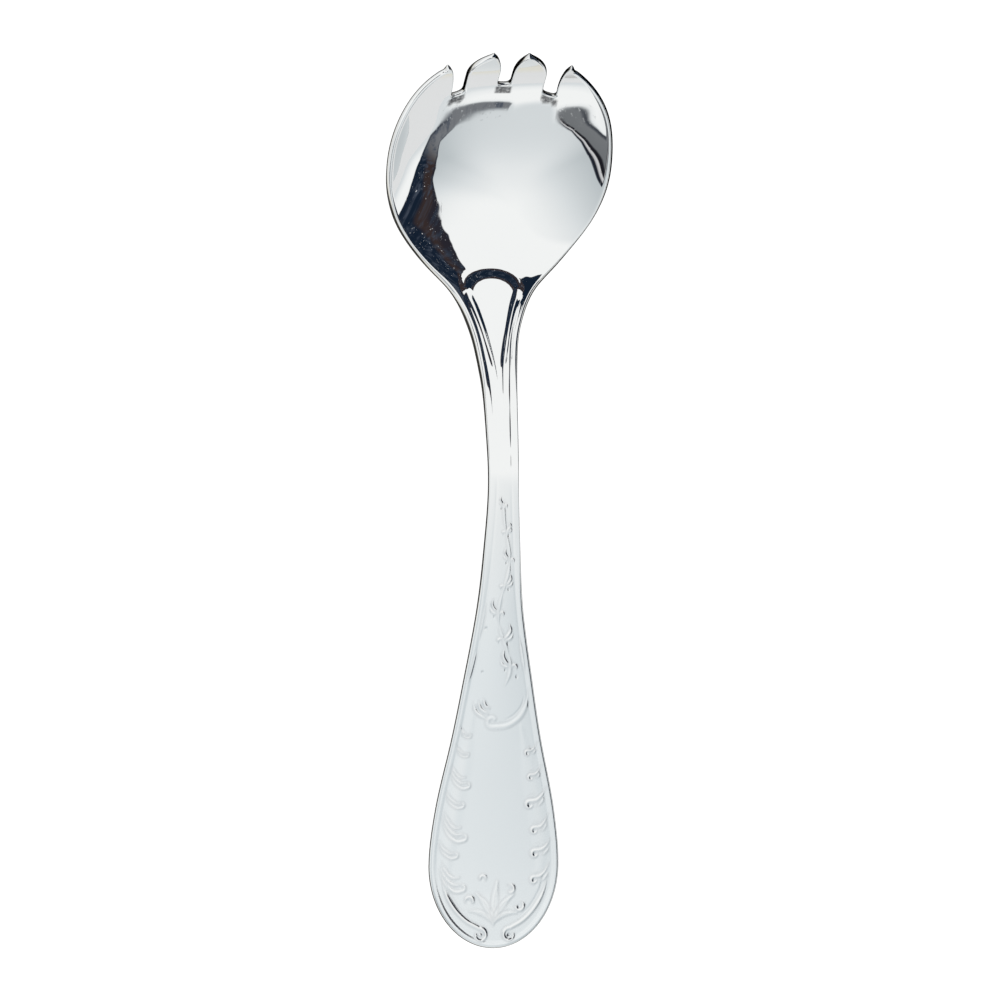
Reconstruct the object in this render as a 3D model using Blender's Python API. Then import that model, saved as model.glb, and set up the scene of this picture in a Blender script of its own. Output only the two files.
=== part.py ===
"""Salad serving fork, forged in one piece from a rolled blank.

Run with: blender --background --python part.py
Metres, +Z up. The fork lies bowl up on a table at z = 0, with its tines
towards +Y. The origin is on the table, at the middle of its length and width.

Along the fork, "station" means the plan distance from the end of the handle.
Each cross-section is a closed ring: a sheet of the station's thickness, laid
square to the middle surface of the metal, with a bead along both edges of the
handle's face and a round edge all the way about.
"""

import math

import bmesh
import bpy
import numpy as np

# Plan lengths, from the end of the handle to the tips of the tines.
END_LENGTH = 0.0225
HANDLE_TAPER = 0.1030
STEM_FLARE = 0.0383
SHOULDER_LENGTH = 0.0462
FRONT_LENGTH = 0.0300

# Widths.
HANDLE_WIDTH = 0.0360
STEM_WIDTH = 0.0080
NECK_WIDTH = 0.0131
BOWL_WIDTH = 0.0625

# Thicknesses of the metal.
HANDLE_END_THICKNESS = 0.0022
HANDLE_THICKNESS = 0.0026
STEM_THICKNESS = 0.0036
BOWL_THICKNESS = 0.0027
TINE_THICKNESS = 0.0019

# Heights above the table of the middle of the metal, on the centre line.
HANDLE_RISE = 0.0010
STEM_HEIGHT = 0.0153
NECK_HEIGHT = 0.0082
TIP_HEIGHT = 0.0308

# How far the edge stands above the centre line. The handle's face is crowned, so its edge is lower.
HANDLE_DISH = -0.0004
NECK_DISH = 0.0004
BOWL_DISH = 0.0134
TIP_DISH = 0.0130

# The bead along the edges of the handle and the stem.
BEAD_WIDTH = 0.0018
BEAD_HEIGHT = 0.0003

# The flat that the bowl rests on, ground this deep into its underside.
REST_DEPTH = 0.00015
REST_BLOCK = 0.022

# The three slots between the four tines, and the round corners that point the tines.
SLOT_WIDTH = 0.0037
SLOT_SPACING = 0.0128
MIDDLE_SLOT_DEPTH = 0.0078
SIDE_SLOT_DEPTH = 0.0105
SLOT_ROOT_DEPTH = 0.0012
INNER_TIP_OFFSET = 0.0047
OUTER_TIP_OFFSET = 0.0160
INNER_TIP_ROUND = 0.0040
OUTER_TIP_ROUND = 0.0049
ROOT_SQUARENESS = 0.6
SIDE_ROOT_SLANT = 0.3
INNER_TIP_TURN = math.radians(60)
OUTER_TIP_TURN = math.radians(25)

# Shape of each stretch, as (share of its length, share of its change). Widths first.
TAPER_SHARES = [(0.14, 0.104), (0.34, 0.417), (0.47, 0.59), (0.68, 0.841), (0.84, 0.944)]
FLARE_SHARES = [(0.33, 0.08), (0.67, 0.297), (0.84, 0.60)]
SHOULDER_SHARES = [
    (0.104, 0.0575), (0.208, 0.1345), (0.301, 0.240), (0.421, 0.458),
    (0.561, 0.683), (0.696, 0.855), (0.852, 0.968),
]
FRONT_POWER = 2.25

# Heights: up the handle, down the neck, down into the bowl, up to the tips.
ARCH_SHARE = 0.08
BOTTOM_SHARE = 0.78
RISE_SHARES = [(0.28, 0.246), (0.56, 0.56), (0.80, 0.83), (0.92, 0.96)]
NECK_SHARES = [(0.268, 0.155), (0.438, 0.28), (0.637, 0.47), (0.827, 0.74)]
DROP_SHARES = [
    (0.133, 0.225), (0.267, 0.465), (0.386, 0.711), (0.478, 0.852),
    (0.617, 0.944), (0.80, 0.989),
]
LIFT_SHARES = [
    (0.15, 0.0103), (0.30, 0.060), (0.448, 0.186), (0.527, 0.273), (0.607, 0.365),
    (0.726, 0.5025), (0.826, 0.630), (0.888, 0.734), (0.933, 0.826),
]
DISH_SHARES = [
    (0.104, 0.045), (0.208, 0.105), (0.301, 0.165), (0.421, 0.215), (0.561, 0.29),
    (0.696, 0.503), (0.773, 0.664), (0.852, 0.812), (0.935, 0.938),
]
DISH_STEEPENING = 0.25
EDGE_THINNING = 0.30
BEAD_END = 0.30

# Fineness of the mesh.
END_RINGS = 9
TAPER_RINGS = 14
FLARE_RINGS = 7
SHOULDER_RINGS = 18
FRONT_RINGS = 14
FACE_STEPS = 7
UNDERSIDE_STEPS = 5
ARC_STEPS = 6
CUTTER_REACH = 0.012
SLOPE_STEP = 0.0001

# Stations of the places where one stretch ends and the next begins.
WIDEST = END_LENGTH
NARROWEST = WIDEST + HANDLE_TAPER
ARCH = NARROWEST + ARCH_SHARE * STEM_FLARE
NECK = NARROWEST + STEM_FLARE
BOTTOM = NECK + BOTTOM_SHARE * SHOULDER_LENGTH
BOWL = NECK + SHOULDER_LENGTH
LENGTH = BOWL + FRONT_LENGTH


def fair_curve(points, at):
    """Cubic curve through the points, with each slope the mean of the slopes beside it, or level at a peak."""
    xs, ys = np.array(points, dtype=float).T
    rise = np.diff(ys) / np.diff(xs)
    slopes = np.concatenate(([rise[0]], 0.5 * (rise[:-1] + rise[1:]), [rise[-1]]))
    level = np.concatenate(([False], rise[:-1] * rise[1:] <= 0, [False]))
    slopes[level] = 0
    at = np.clip(at, xs[0], xs[-1])
    k = np.clip(np.searchsorted(xs, at) - 1, 0, len(xs) - 2)
    span = xs[k + 1] - xs[k]
    t = (at - xs[k]) / span
    ease = t * t * (3 - 2 * t)
    leave = t * (1 - t) ** 2 * span * slopes[k]
    arrive = t * t * (1 - t) * span * slopes[k + 1]
    return ys[k] + (ys[k + 1] - ys[k]) * ease + leave - arrive


def stretch(start, end, first, last, changes=()):
    """The points of one stretch, worked out from its shares. Its end point is left to the next stretch."""
    shares = [(0, 0), *changes]
    return [(start + a * (end - start), first + b * (last - first)) for a, b in shares]


def oval_front(share):
    """Share of the width that is left at a share of the way from the widest place of the bowl to the tips."""
    return (1 - share**FRONT_POWER) ** (1 / FRONT_POWER)


def half_width(station):
    """Half the plan width: an elliptic end, a fair curve along the handle and neck, and an oval front."""
    points = stretch(WIDEST, NARROWEST, HANDLE_WIDTH / 2, STEM_WIDTH / 2, TAPER_SHARES)
    points += stretch(NARROWEST, NECK, STEM_WIDTH / 2, NECK_WIDTH / 2, FLARE_SHARES)
    points += stretch(NECK, BOWL, NECK_WIDTH / 2, BOWL_WIDTH / 2, SHOULDER_SHARES)
    points += [(BOWL, BOWL_WIDTH / 2)]
    middle = fair_curve(points, station)
    end = HANDLE_WIDTH / 2 * np.sqrt(1 - np.clip(1 - station / WIDEST, 0, 1) ** 2)
    front = BOWL_WIDTH / 2 * oval_front(np.clip((station - BOWL) / FRONT_LENGTH, 0, 1))
    return np.where(station < WIDEST, end, np.where(station > BOWL, front, middle))


def centre_height(station):
    """Height of the middle of the metal on the centre line: low end, arched stem, dropped bowl, raised tines."""
    low = HANDLE_END_THICKNESS / 2
    swell = low + HANDLE_RISE
    bottom = BOWL_THICKNESS / 2 - REST_DEPTH
    points = stretch(0, WIDEST, low, swell)
    points += stretch(WIDEST, ARCH, swell, STEM_HEIGHT, RISE_SHARES)
    points += stretch(ARCH, NECK, STEM_HEIGHT, NECK_HEIGHT, NECK_SHARES)
    points += stretch(NECK, BOTTOM, NECK_HEIGHT, bottom, DROP_SHARES)
    points += stretch(BOTTOM, LENGTH, bottom, TIP_HEIGHT, LIFT_SHARES)
    points += [(LENGTH, TIP_HEIGHT)]
    return fair_curve(points, station)


def dish_rise(station):
    """How far the edge of the metal stands above its centre line."""
    points = stretch(0, NARROWEST, HANDLE_DISH, HANDLE_DISH)
    points += stretch(NARROWEST, NECK, HANDLE_DISH, NECK_DISH)
    points += stretch(NECK, BOWL, NECK_DISH, BOWL_DISH, DISH_SHARES)
    points += [(BOWL, BOWL_DISH), (LENGTH, TIP_DISH)]
    return fair_curve(points, station)


def middle_surface(x, station):
    """Height of the middle of the metal. In front of the bowl the dish keeps the bowl's width."""
    q = np.abs(x) / half_width(np.clip(station, WIDEST, BOWL))
    share = (q**2 + DISH_STEEPENING * q**4) / (1 + DISH_STEEPENING)
    return centre_height(station) + dish_rise(station) * share


def thickness(station):
    points = [(0, HANDLE_END_THICKNESS), ((WIDEST + NARROWEST) / 2, HANDLE_THICKNESS)]
    points += [(ARCH, STEM_THICKNESS), (NECK, STEM_THICKNESS)]
    points += [((NECK + BOTTOM) / 2, BOWL_THICKNESS), (BOWL, BOWL_THICKNESS)]
    points += [(LENGTH, TINE_THICKNESS)]
    return fair_curve(points, station)


def bead_share(station):
    """1 on the handle and the stem, easing to 0 where the shoulders begin."""
    share = np.clip((station - NECK) / (BEAD_END * SHOULDER_LENGTH), 0, 1)
    return 1 - share * share * (3 - 2 * share)


def surface_normal(x, station):
    """Unit normals of the middle surface, from its slopes."""
    step = SLOPE_STEP
    inside = np.clip(station, step, LENGTH - step)
    slope_x = (middle_surface(x + step, station) - middle_surface(x - step, station)) / (2 * step)
    slope_y = (middle_surface(x, inside + step) - middle_surface(x, inside - step)) / (2 * step)
    normal = np.stack([-slope_x, -slope_y, np.ones_like(slope_x)], axis=-1)
    return normal / np.linalg.norm(normal, axis=-1, keepdims=True)


def places_across(steps, edge_depths, width, lean):
    """Distances from the centre line, from the edge inwards: the given depths, then even steps to the centre."""
    depths = np.array(sorted(edge_depths)) / lean
    depths *= min(1, 0.7 * width / depths[-1])
    edge = width - depths
    inner = edge[-1] * (1 - np.arange(1, steps) / steps)
    side = np.concatenate((edge, inner))
    return np.concatenate((side, [0], -side[::-1]))


def cross_section(station):
    """One closed ring of points: along the face from +X to -X, then back along the underside."""
    width = float(half_width(station))
    slope = float(half_width(station + SLOPE_STEP) - half_width(station - SLOPE_STEP)) / (2 * SLOPE_STEP)
    lean = 1 / math.hypot(1, slope)
    metal = float(thickness(station))
    round_depth = 0.45 * metal
    face_depths = [0, 0.1 * round_depth, 0.4 * round_depth]
    face_depths += [0.5 * BEAD_WIDTH, 0.8 * BEAD_WIDTH, BEAD_WIDTH, 1.25 * BEAD_WIDTH]
    face = places_across(FACE_STEPS, face_depths, width, lean)
    under = places_across(UNDERSIDE_STEPS, [0.15 * round_depth, 0.6 * round_depth, BEAD_WIDTH], width, lean)
    x = np.concatenate((face, under[::-1]))
    up = np.concatenate((np.ones(len(face)), -np.ones(len(under))))
    depth = (width - np.abs(x)) * lean
    edge = np.sqrt(1 - (1 - np.clip(depth / round_depth, 0, 1)) ** 2)
    thinner = 1 - EDGE_THINNING * (np.abs(x) / width) ** 2
    bead = BEAD_HEIGHT * bead_share(station) * np.sin(math.pi * np.clip(depth / BEAD_WIDTH, 0, 1)) ** 2
    offset = up * metal / 2 * edge * thinner + np.where(up > 0, bead, 0)
    stations = np.full_like(x, station)
    middle = np.stack([x, stations - LENGTH / 2, middle_surface(x, stations)], axis=-1)
    return middle + surface_normal(x, stations) * offset[:, None]


def ring_stations():
    """Stations of the rings. Towards the two round ends they close up as the angles of an arc do."""
    end = WIDEST * (1 - np.cos(np.linspace(0, math.pi / 2, END_RINGS + 1)[1:]))
    taper = np.linspace(WIDEST, NARROWEST, TAPER_RINGS + 1)[1:]
    flare = np.linspace(NARROWEST, NECK, FLARE_RINGS + 1)[1:]
    shoulder = np.linspace(NECK, BOWL, SHOULDER_RINGS + 1)[1:]
    front = BOWL + FRONT_LENGTH * np.sin(np.linspace(0, math.pi / 2, FRONT_RINGS + 1)[1:-1])
    return np.concatenate((end, taper, flare, shoulder, front))


def new_object(name, work):
    """Turns a bmesh into a mesh object in the scene, with its faces pointing out."""
    bmesh.ops.recalc_face_normals(work, faces=work.faces)
    mesh = bpy.data.meshes.new(name)
    work.to_mesh(mesh)
    work.free()
    made = bpy.data.objects.new(name, mesh)
    bpy.context.scene.collection.objects.link(made)
    return made


def forged_blank():
    """The fork before its slots are cut: rings bridged by quads, closed to a point at each end."""
    work = bmesh.new()
    rings = [[work.verts.new(point) for point in cross_section(station)] for station in ring_stations()]
    for ring, following in zip(rings, rings[1:]):
        for k in range(len(ring)):
            work.faces.new((ring[k - 1], ring[k], following[k], following[k - 1]))
    for ring, station in ((rings[0], 0), (rings[-1], LENGTH)):
        end = work.verts.new((0, station - LENGTH / 2, float(centre_height(station))))
        for k in range(len(ring)):
            work.faces.new((ring[k - 1], ring[k], end))
    return new_object("serving_fork", work)


def tip_arc(start, end, turn):
    """Points after start, which leave it along the fork and reach end as an ellipse does in this turn."""
    angles = np.linspace(0, turn, ARC_STEPS + 1)[1:]
    across = (1 - np.cos(angles)) / (1 - math.cos(turn))
    along = np.sin(angles) / math.sin(turn)
    return [(start[0] + a * (end[0] - start[0]), start[1] + b * (end[1] - start[1])) for a, b in zip(across, along)]


def slot_root(centre, root, slant):
    """Points of a slot's root, from its +X wall round to its -X wall: half a superellipse, sheared by the slant."""
    angles = np.linspace(0, math.pi, 2 * ARC_STEPS + 1)
    across = np.sign(np.cos(angles)) * np.abs(np.cos(angles)) ** ROOT_SQUARENESS * SLOT_WIDTH / 2
    ahead = SLOT_ROOT_DEPTH * (1 - np.abs(np.sin(angles)) ** ROOT_SQUARENESS)
    return list(zip(centre + across, root + ahead - slant * across))


def middle_slot_outline():
    """The slot on the centre line. Its walls run forward, then curve out to the tips of the inner tines."""
    shoulder = LENGTH - INNER_TIP_ROUND
    right = tip_arc((SLOT_WIDTH / 2, shoulder), (INNER_TIP_OFFSET, LENGTH), INNER_TIP_TURN)
    right += [(INNER_TIP_OFFSET, LENGTH + CUTTER_REACH)]
    left = [(-x, station) for x, station in right]
    return slot_root(0, LENGTH - MIDDLE_SLOT_DEPTH, 0) + left + right[::-1]


def side_slot_outline():
    """The slot on the +X side, with the space in front of it between the tips of the two tines."""
    inner_wall = SLOT_SPACING - SLOT_WIDTH / 2
    outer_wall = SLOT_SPACING + SLOT_WIDTH / 2
    outer_tip = BOWL + FRONT_LENGTH * oval_front(OUTER_TIP_OFFSET / (BOWL_WIDTH / 2))
    beyond = LENGTH + CUTTER_REACH
    inner = tip_arc((inner_wall, LENGTH - OUTER_TIP_ROUND), (INNER_TIP_OFFSET, LENGTH), INNER_TIP_TURN)
    outer = tip_arc((outer_wall, outer_tip - OUTER_TIP_ROUND), (OUTER_TIP_OFFSET, outer_tip), OUTER_TIP_TURN)
    front = [(INNER_TIP_OFFSET, beyond), (OUTER_TIP_OFFSET, beyond)]
    root = slot_root(SLOT_SPACING, LENGTH - SIDE_SLOT_DEPTH, SIDE_ROOT_SLANT)
    return root + inner + front + outer[::-1]


def prism(name, outline, low, high):
    """A closed solid between two copies of the outline, one shifted by low and one by high."""
    work = bmesh.new()
    below = [work.verts.new(point) for point in outline + low]
    above = [work.verts.new(point) for point in outline + high]
    caps = [work.faces.new(below), work.faces.new(above)]
    for k in range(len(below)):
        work.faces.new((below[k - 1], below[k], above[k], above[k - 1]))
    bmesh.ops.triangulate(work, faces=caps)
    return new_object(name, work)


def slot_cutter(name, outline):
    """A slot's outline, laid on the middle of the metal and extruded both ways, square to the slope of the tines."""
    x, station = np.array(outline).T
    lift = float(centre_height(LENGTH) - centre_height(LENGTH - SIDE_SLOT_DEPTH))
    slope = math.atan2(lift, SIDE_SLOT_DEPTH)
    reach = CUTTER_REACH * np.array([0, -math.sin(slope), math.cos(slope)])
    on_metal = np.stack([x, station - LENGTH / 2, middle_surface(x, station)], axis=-1)
    return prism(name, on_metal, -reach, reach)


def rest_cutter():
    """A block below the table that leaves the flat which the bowl rests on."""
    half = REST_BLOCK / 2
    square = np.array([(-half, -half, 0), (half, -half, 0), (half, half, 0), (-half, half, 0)])
    under_bowl = square + np.array([0, BOTTOM - LENGTH / 2, 0])
    return prism("rest_cutter", under_bowl, np.array([0, 0, -CUTTER_REACH]), np.zeros(3))


def cut(body, cutter):
    cutter.hide_render = True
    cutter.display_type = "WIRE"
    modifier = body.modifiers.new(cutter.name, "BOOLEAN")
    modifier.operation = "DIFFERENCE"
    modifier.solver = "EXACT"
    modifier.object = cutter


def polished_steel():
    material = bpy.data.materials.new("polished_steel")
    material.use_nodes = True
    shader = material.node_tree.nodes["Principled BSDF"]
    shader.inputs["Base Color"].default_value = (0.80, 0.81, 0.83, 1)
    shader.inputs["Metallic"].default_value = 1
    shader.inputs["Roughness"].default_value = 0.12
    return material


def serving_fork():
    fork = forged_blank()
    fork.data.materials.append(polished_steel())
    fork.data.shade_smooth()
    side = side_slot_outline()
    cut(fork, slot_cutter("middle_slot_cutter", middle_slot_outline()))
    cut(fork, slot_cutter("right_slot_cutter", side))
    cut(fork, slot_cutter("left_slot_cutter", [(-x, station) for x, station in side]))
    cut(fork, rest_cutter())


def clear_scene():
    for old in list(bpy.data.objects):
        bpy.data.objects.remove(old)


clear_scene()
serving_fork()
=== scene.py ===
"""Looks of the one-piece salad serving fork: polished and satin steel, relief on the handle, and its stage.

Metres, +Z up. The fork lies bowl up on the floor at z = 0, with its tines towards +Y and its middle over
the origin.
"Station" means the plan distance from the end of the handle, in metres.
"""

import math

import bmesh
import bpy
import numpy as np
from bpy.props import FloatProperty, FloatVectorProperty, PointerProperty
from mathutils import Matrix, Vector


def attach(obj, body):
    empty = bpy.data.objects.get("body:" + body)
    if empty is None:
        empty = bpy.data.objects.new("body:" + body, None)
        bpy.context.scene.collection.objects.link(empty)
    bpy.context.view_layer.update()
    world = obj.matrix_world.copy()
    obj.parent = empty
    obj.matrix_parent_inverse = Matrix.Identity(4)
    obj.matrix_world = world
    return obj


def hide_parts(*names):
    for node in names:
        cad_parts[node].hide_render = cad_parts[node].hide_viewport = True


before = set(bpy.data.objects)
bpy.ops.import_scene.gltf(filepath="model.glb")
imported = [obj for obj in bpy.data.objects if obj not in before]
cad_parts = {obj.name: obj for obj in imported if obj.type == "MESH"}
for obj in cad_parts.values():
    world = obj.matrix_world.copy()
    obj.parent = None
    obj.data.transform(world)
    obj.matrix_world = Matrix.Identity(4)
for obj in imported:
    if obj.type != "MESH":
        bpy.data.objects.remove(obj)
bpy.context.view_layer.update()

bl_info = {
    "name": "Salad Serving Fork",
    "version": (1, 0, 0),
    "blender": (4, 5, 0),
    "location": "View3D > Sidebar > Serving Fork",
    "description": "Builds the salad serving fork with its relief, its steel and its stage",
    "category": "Add Mesh",
}

MM = 0.001
LENGTH = 0.2400

# Stations where one stretch of the fork ends and the next begins.
WIDEST = 0.0225
NARROWEST = 0.1255
ARCH = 0.12856
NECK = 0.1638
BOTTOM = 0.19984
BOWL = 0.2100

# Shape of each stretch, as (share of its length, share of its change), as the solid has it.
TAPER_SHARES = [(0.14, 0.104), (0.34, 0.417), (0.47, 0.59), (0.68, 0.841), (0.84, 0.944)]
FLARE_SHARES = [(0.33, 0.08), (0.67, 0.297), (0.84, 0.60)]
SHOULDER_SHARES = [
    (0.104, 0.0575), (0.208, 0.1345), (0.301, 0.240), (0.421, 0.458), (0.561, 0.683), (0.696, 0.855),
    (0.852, 0.968),
]
RISE_SHARES = [(0.28, 0.246), (0.56, 0.56), (0.80, 0.83), (0.92, 0.96)]
NECK_SHARES = [(0.268, 0.155), (0.438, 0.28), (0.637, 0.47), (0.827, 0.74)]
DROP_SHARES = [
    (0.133, 0.225), (0.267, 0.465), (0.386, 0.711), (0.478, 0.852), (0.617, 0.944), (0.80, 0.989),
]
LIFT_SHARES = [
    (0.15, 0.0103), (0.30, 0.060), (0.448, 0.186), (0.527, 0.273), (0.607, 0.365), (0.726, 0.5025),
    (0.826, 0.630), (0.888, 0.734), (0.933, 0.826),
]
DISH_SHARES = [
    (0.104, 0.045), (0.208, 0.105), (0.301, 0.165), (0.421, 0.215), (0.561, 0.29), (0.696, 0.503),
    (0.773, 0.664), (0.852, 0.812), (0.935, 0.938),
]
FRONT_POWER = 2.25
DISH_STEEPENING = 0.25
EDGE_THINNING = 0.30
REST_DEPTH = 0.00015
RIM_OVERHANG = 0.75

# Slots and tines.
SLOT_SPACING = 0.0128
MIDDLE_SLOT_DEPTH = 0.0078
SIDE_SLOT_DEPTH = 0.0105
SLOT_ROOT_DEPTH = 0.0012
ROOT_SQUARENESS = 0.6
SIDE_ROOT_SLANT = 0.3
INNER_TIP_OFFSET = 0.0047
OUTER_TIP_OFFSET = 0.0160
INNER_TIP_ROUND = 0.0040
OUTER_TIP_ROUND = 0.0049
INNER_TIP_TURN = math.radians(60)
OUTER_TIP_TURN = math.radians(25)
TIP_SETBACK = 0.0009
INNER_TIP_LOSS = 0.00012
TINE_EDGE_SHARE = 0.35
OUTER_TIP_CLOSING = 0.0014
INNER_TIP_CLOSING = 0.0006
ROOT_STAIN_PLACE = 0.0018
ROOT_STAIN_REACH = 0.0009

# Stations between which a trait comes in or goes out: the crisp head, the slender and the flattened stem, the
# border's end, the groove and its deeper run, and the valleys beside the tongue.
HEAD_FROM = (NECK - 0.004, NECK + 0.022)
STEM_FROM, STEM_TO = (0.090, 0.112), (0.146, 0.158)
FLAT_FROM, FLAT_TO = (0.088, 0.108), (0.150, 0.164)
BORDER_TO = (NECK + 0.004, NECK + 0.014)
GROOVE_FROM, DEEP_GROOVE_FROM = (0.017, 0.024), (0.145, 0.158)
VALLEY_FROM, VALLEY_TO = (0.151, 0.159), (0.171, 0.181)

# The tongue at the neck, as (station, value), the stations where its end falls, and how round that end is.
TONGUE_HALF_WIDTHS = [
    (0.150, 0.0006), (0.156, 0.0011), (0.1625, 0.0024), (0.169, 0.0042), (0.1745, 0.0063),
    (0.178, 0.0086), (0.183, 0.0122),
]
TONGUE_LIFTS = [
    (0.148, 0), (0.156, 0.00016), (0.1638, 0.00028), (0.170, 0.00046), (0.1745, 0.00074),
    (0.179, 0.00110), (0.183, 0.00135),
]
TONGUE_END = (0.1790, 0.1838)
TONGUE_ROUNDNESS = 0.0056

# How much of the stem's crown and thinning is levelled, and by how much its bead and edge rounding shrink.
STEM_FLATTENING = 0.8
STEM_BEAD_LOSS = 0.85
STEM_CRISPNESS = 0.5

# The edge's profile power on the handle, and what the head adds to it above and below.
EDGE_POWER = 3
HEAD_POWER_ABOVE = 2
HEAD_POWER_BELOW = -0.4

# The valleys beside the tongue and the domed ends of the beads.
VALLEY_DEPTH = 0.00020
VALLEY_WIDTH = 0.0009
BEAD_END_PLACE = (0.0078, 0.1764)
BEAD_END_RADIUS = 0.0017
BEAD_END_HEIGHT = 0.00032

# How far, in millimetres, the hollow beside a ridge of the relief reaches: a band painted darker as shade.
HOLLOW_REACH = 0.7
# Half width in millimetres from which a ridge is a soft pad without a hollow beside it.
BROAD = 2.0

# Height in metres at which a ridge of the relief is fully polished, with the brighter colour of a painted
# highlight.
FULL_RIDGE = 0.00020

# Scales of the steel's scratches, satin grain, broad unevenness and residue.
SCRATCH_SCALE = 900
GRAIN_SCALE = 2600
CLOUD_SCALE = 45
BLOTCH_SCALE = 1400

# Where on the ridge mask the satin turns into polish, with a brighter colour that is a painted highlight, and
# what each trait adds to the steel's roughness.
POLISHED_RIDGE = (0.35, 1.10)
HOLLOW_ROUGHNESS = 0.10
SCRATCH_ROUGHNESS = 0.05
CLOUD_ROUGHNESS = 0.04

# The bump's strength and depth, how much of it the grain makes up, and how deep the scratches cut into it.
BUMP_STRENGTH = 0.25
BUMP_DEPTH = 0.00001
GRAIN_HEIGHT = 0.5
SCRATCH_HEIGHT = -0.10

# How much the border groove varies in depth, and the two waves along the fork that it varies with.
GROOVE_VARIATION = 0.3
GROOVE_WAVES = (430, 170)

# Light: the floor's half side, its white for the camera, its glow in the metal and its paint.
FLOOR_HALF = 3.0
FLOOR_WHITE = 0.92
FLOOR_MIRRORED = 0.55
FLOOR_PAINT = 0.40
FLOOR_WARM = (1, 0.96, 0.82)
WHITE = (1, 1, 1, 1)

# Where the metal sees the floor pale, as (low, high) of a smooth step: beside the handle by y, on the left by
# x + y / 2, and far ahead by y and x. Then the steepness from which it is warm and from which it is dark,
# a painted contact shadow.
PALE_BEHIND = (0.055, 0.085)
PALE_LEFT = (0.016, 0.026)
PALE_AHEAD = (0.10, 0.22)
PALE_AHEAD_SIDE = (0.03, 0.06)
WARM_STEEPNESS = (0.22, 0.32)
SHADOW_STEEPNESS = (0.34, 0.50)

# The room beyond the tent, as (turn, tilt), and its colours.
ROOM_INNER_EDGE = [
    (0, 0.43), (0.025, 0.43), (0.05, 0.52), (0.065, 0.60), (0.135, 0.60), (0.15, 0.42), (0.21, 0.42),
    (0.225, 0.64), (0.30, 0.78), (0.332, 0.75), (0.345, 0.755), (0.381, 0.789), (0.412, 0.832),
    (0.438, 0.849), (0.459, 0.844), (0.470, 0.842), (0.48, 0.87), (0.524, 0.87), (0.53, 0.848),
    (0.546, 0.863), (0.562, 0.881), (0.575, 0.900), (0.589, 0.924), (0.600, 0.927), (0.614, 0.915),
    (0.633, 0.816), (0.664, 0.714), (0.690, 0.667), (0.708, 0.590), (0.723, 0.528), (0.737, 0.43),
    (0.763, 0.35), (0.785, 0.333), (0.811, 0.335), (0.866, 0.385), (0.885, 0.52), (0.952, 0.54),
    (0.965, 0.47), (0.980, 0.445), (1, 0.43),
]
ROOM_OUTER_EDGE = [
    (0, 0.80), (0.03, 0.82), (0.06, 0.80), (0.10, 0.62), (0.28, 0.62), (0.31, 0.80), (0.33, 0.94),
    (0.345, 0.96), (0.375, 0.95), (0.39, 0.932), (0.404, 0.922), (0.424, 0.897), (0.451, 0.863),
    (0.470, 0.842), (0.48, 0.85), (0.524, 0.85), (0.53, 0.862), (0.549, 0.882), (0.565, 0.901),
    (0.581, 0.922), (0.598, 0.953), (0.611, 0.983), (0.624, 0.994), (0.640, 0.962), (0.667, 0.907),
    (0.691, 0.884), (0.703, 0.864), (0.712, 0.84), (0.75, 0.90), (0.80, 1), (0.96, 1), (0.975, 0.80),
    (1, 0.80),
]
ROOM_BROWN = (0.040, 0.027, 0.026)
ROOM_NAVY = (0.008, 0.016, 0.032)
ROOM_GREY = (0.19, 0.20, 0.215)
ROOM_PATCH = (0.06, 0.075, 0.105)
ROOM_FLECK = (0.7, 0.7, 0.72)
# Half width of the room's soft edges, and the turns between which its looks change.
ROOM_SOFTNESS = 0.003
NAVY_TO = (0.30, 0.315)
STREAKS_TO = (0.455, 0.475)
GREY_TO = (0.61, 0.665)
FLECKS_FROM = (0.67, 0.69)

# The tent's strength as (tilt, strength): in the middle of its back, at its sides, and below the room.
TENT_MIDDLE = [
    (0, 1.0), (0.05, 0.97), (0.15, 0.93), (0.25, 0.905), (0.45, 0.87), (0.65, 0.82), (0.85, 0.75),
    (1, 0.72),
]
TENT_SIDES = [
    (0, 1.0), (0.05, 0.975), (0.15, 0.935), (0.25, 0.88), (0.35, 0.825), (0.55, 0.70), (0.75, 0.59),
    (1, 0.55),
]
TENT_FOOT = [(0, 1.0), (0.92, 1.0), (0.955, 0.93), (0.985, 0.80), (1, 0.78)]
# The tent's colour as (strength, red, green, blue).
TENT_COLOURS = [
    (0.0, 0, 0, 0), (0.6, 0.555, 0.600, 0.620), (0.8, 0.765, 0.800, 0.815), (1.0, 0.99, 1.0, 0.995),
]
# The streaks across the room's patch on the left, from its inner edge outwards.
STREAK_COLOURS = [
    (0.0, 0.3, 0.31, 0.33), (0.05, 0.01, 0.01, 0.015), (0.13, 0.03, 0.03, 0.035), (0.17, 0.5, 0.5, 0.52),
    (0.24, 0.7, 0.7, 0.7), (0.28, 0.01, 0.01, 0.015), (0.38, 0.015, 0.015, 0.02),
    (0.44, 0.17, 0.18, 0.19), (0.90, 0.19, 0.20, 0.21), (1.0, 0.05, 0.05, 0.055),
]

# Fineness of the mesh, and how far the station tables are evened out.
TABLE_STEP = 0.00005
TABLE_MARGIN = 0.020
HEIGHT_REACH = 0.0022
WIDTH_REACH = 0.0012
END_ROWS = 76
ROOT_ROWS = 14
MIDDLE_ROOT_ROWS = 12
OUTER_TINE_ROWS = 26
INNER_TINE_ROWS = 28
FACE_STEP = 0.00034
NECK_STEP = 0.0007
HEAD_STEP = 0.0008
NECK_STEPS_FROM = 0.130
HEAD_STEPS_FROM = 0.165
HALF_COLUMNS = 56
HALF_UNDER_COLUMNS = 16
BAND_STEPS = 8
WELD = 2e-6


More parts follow.
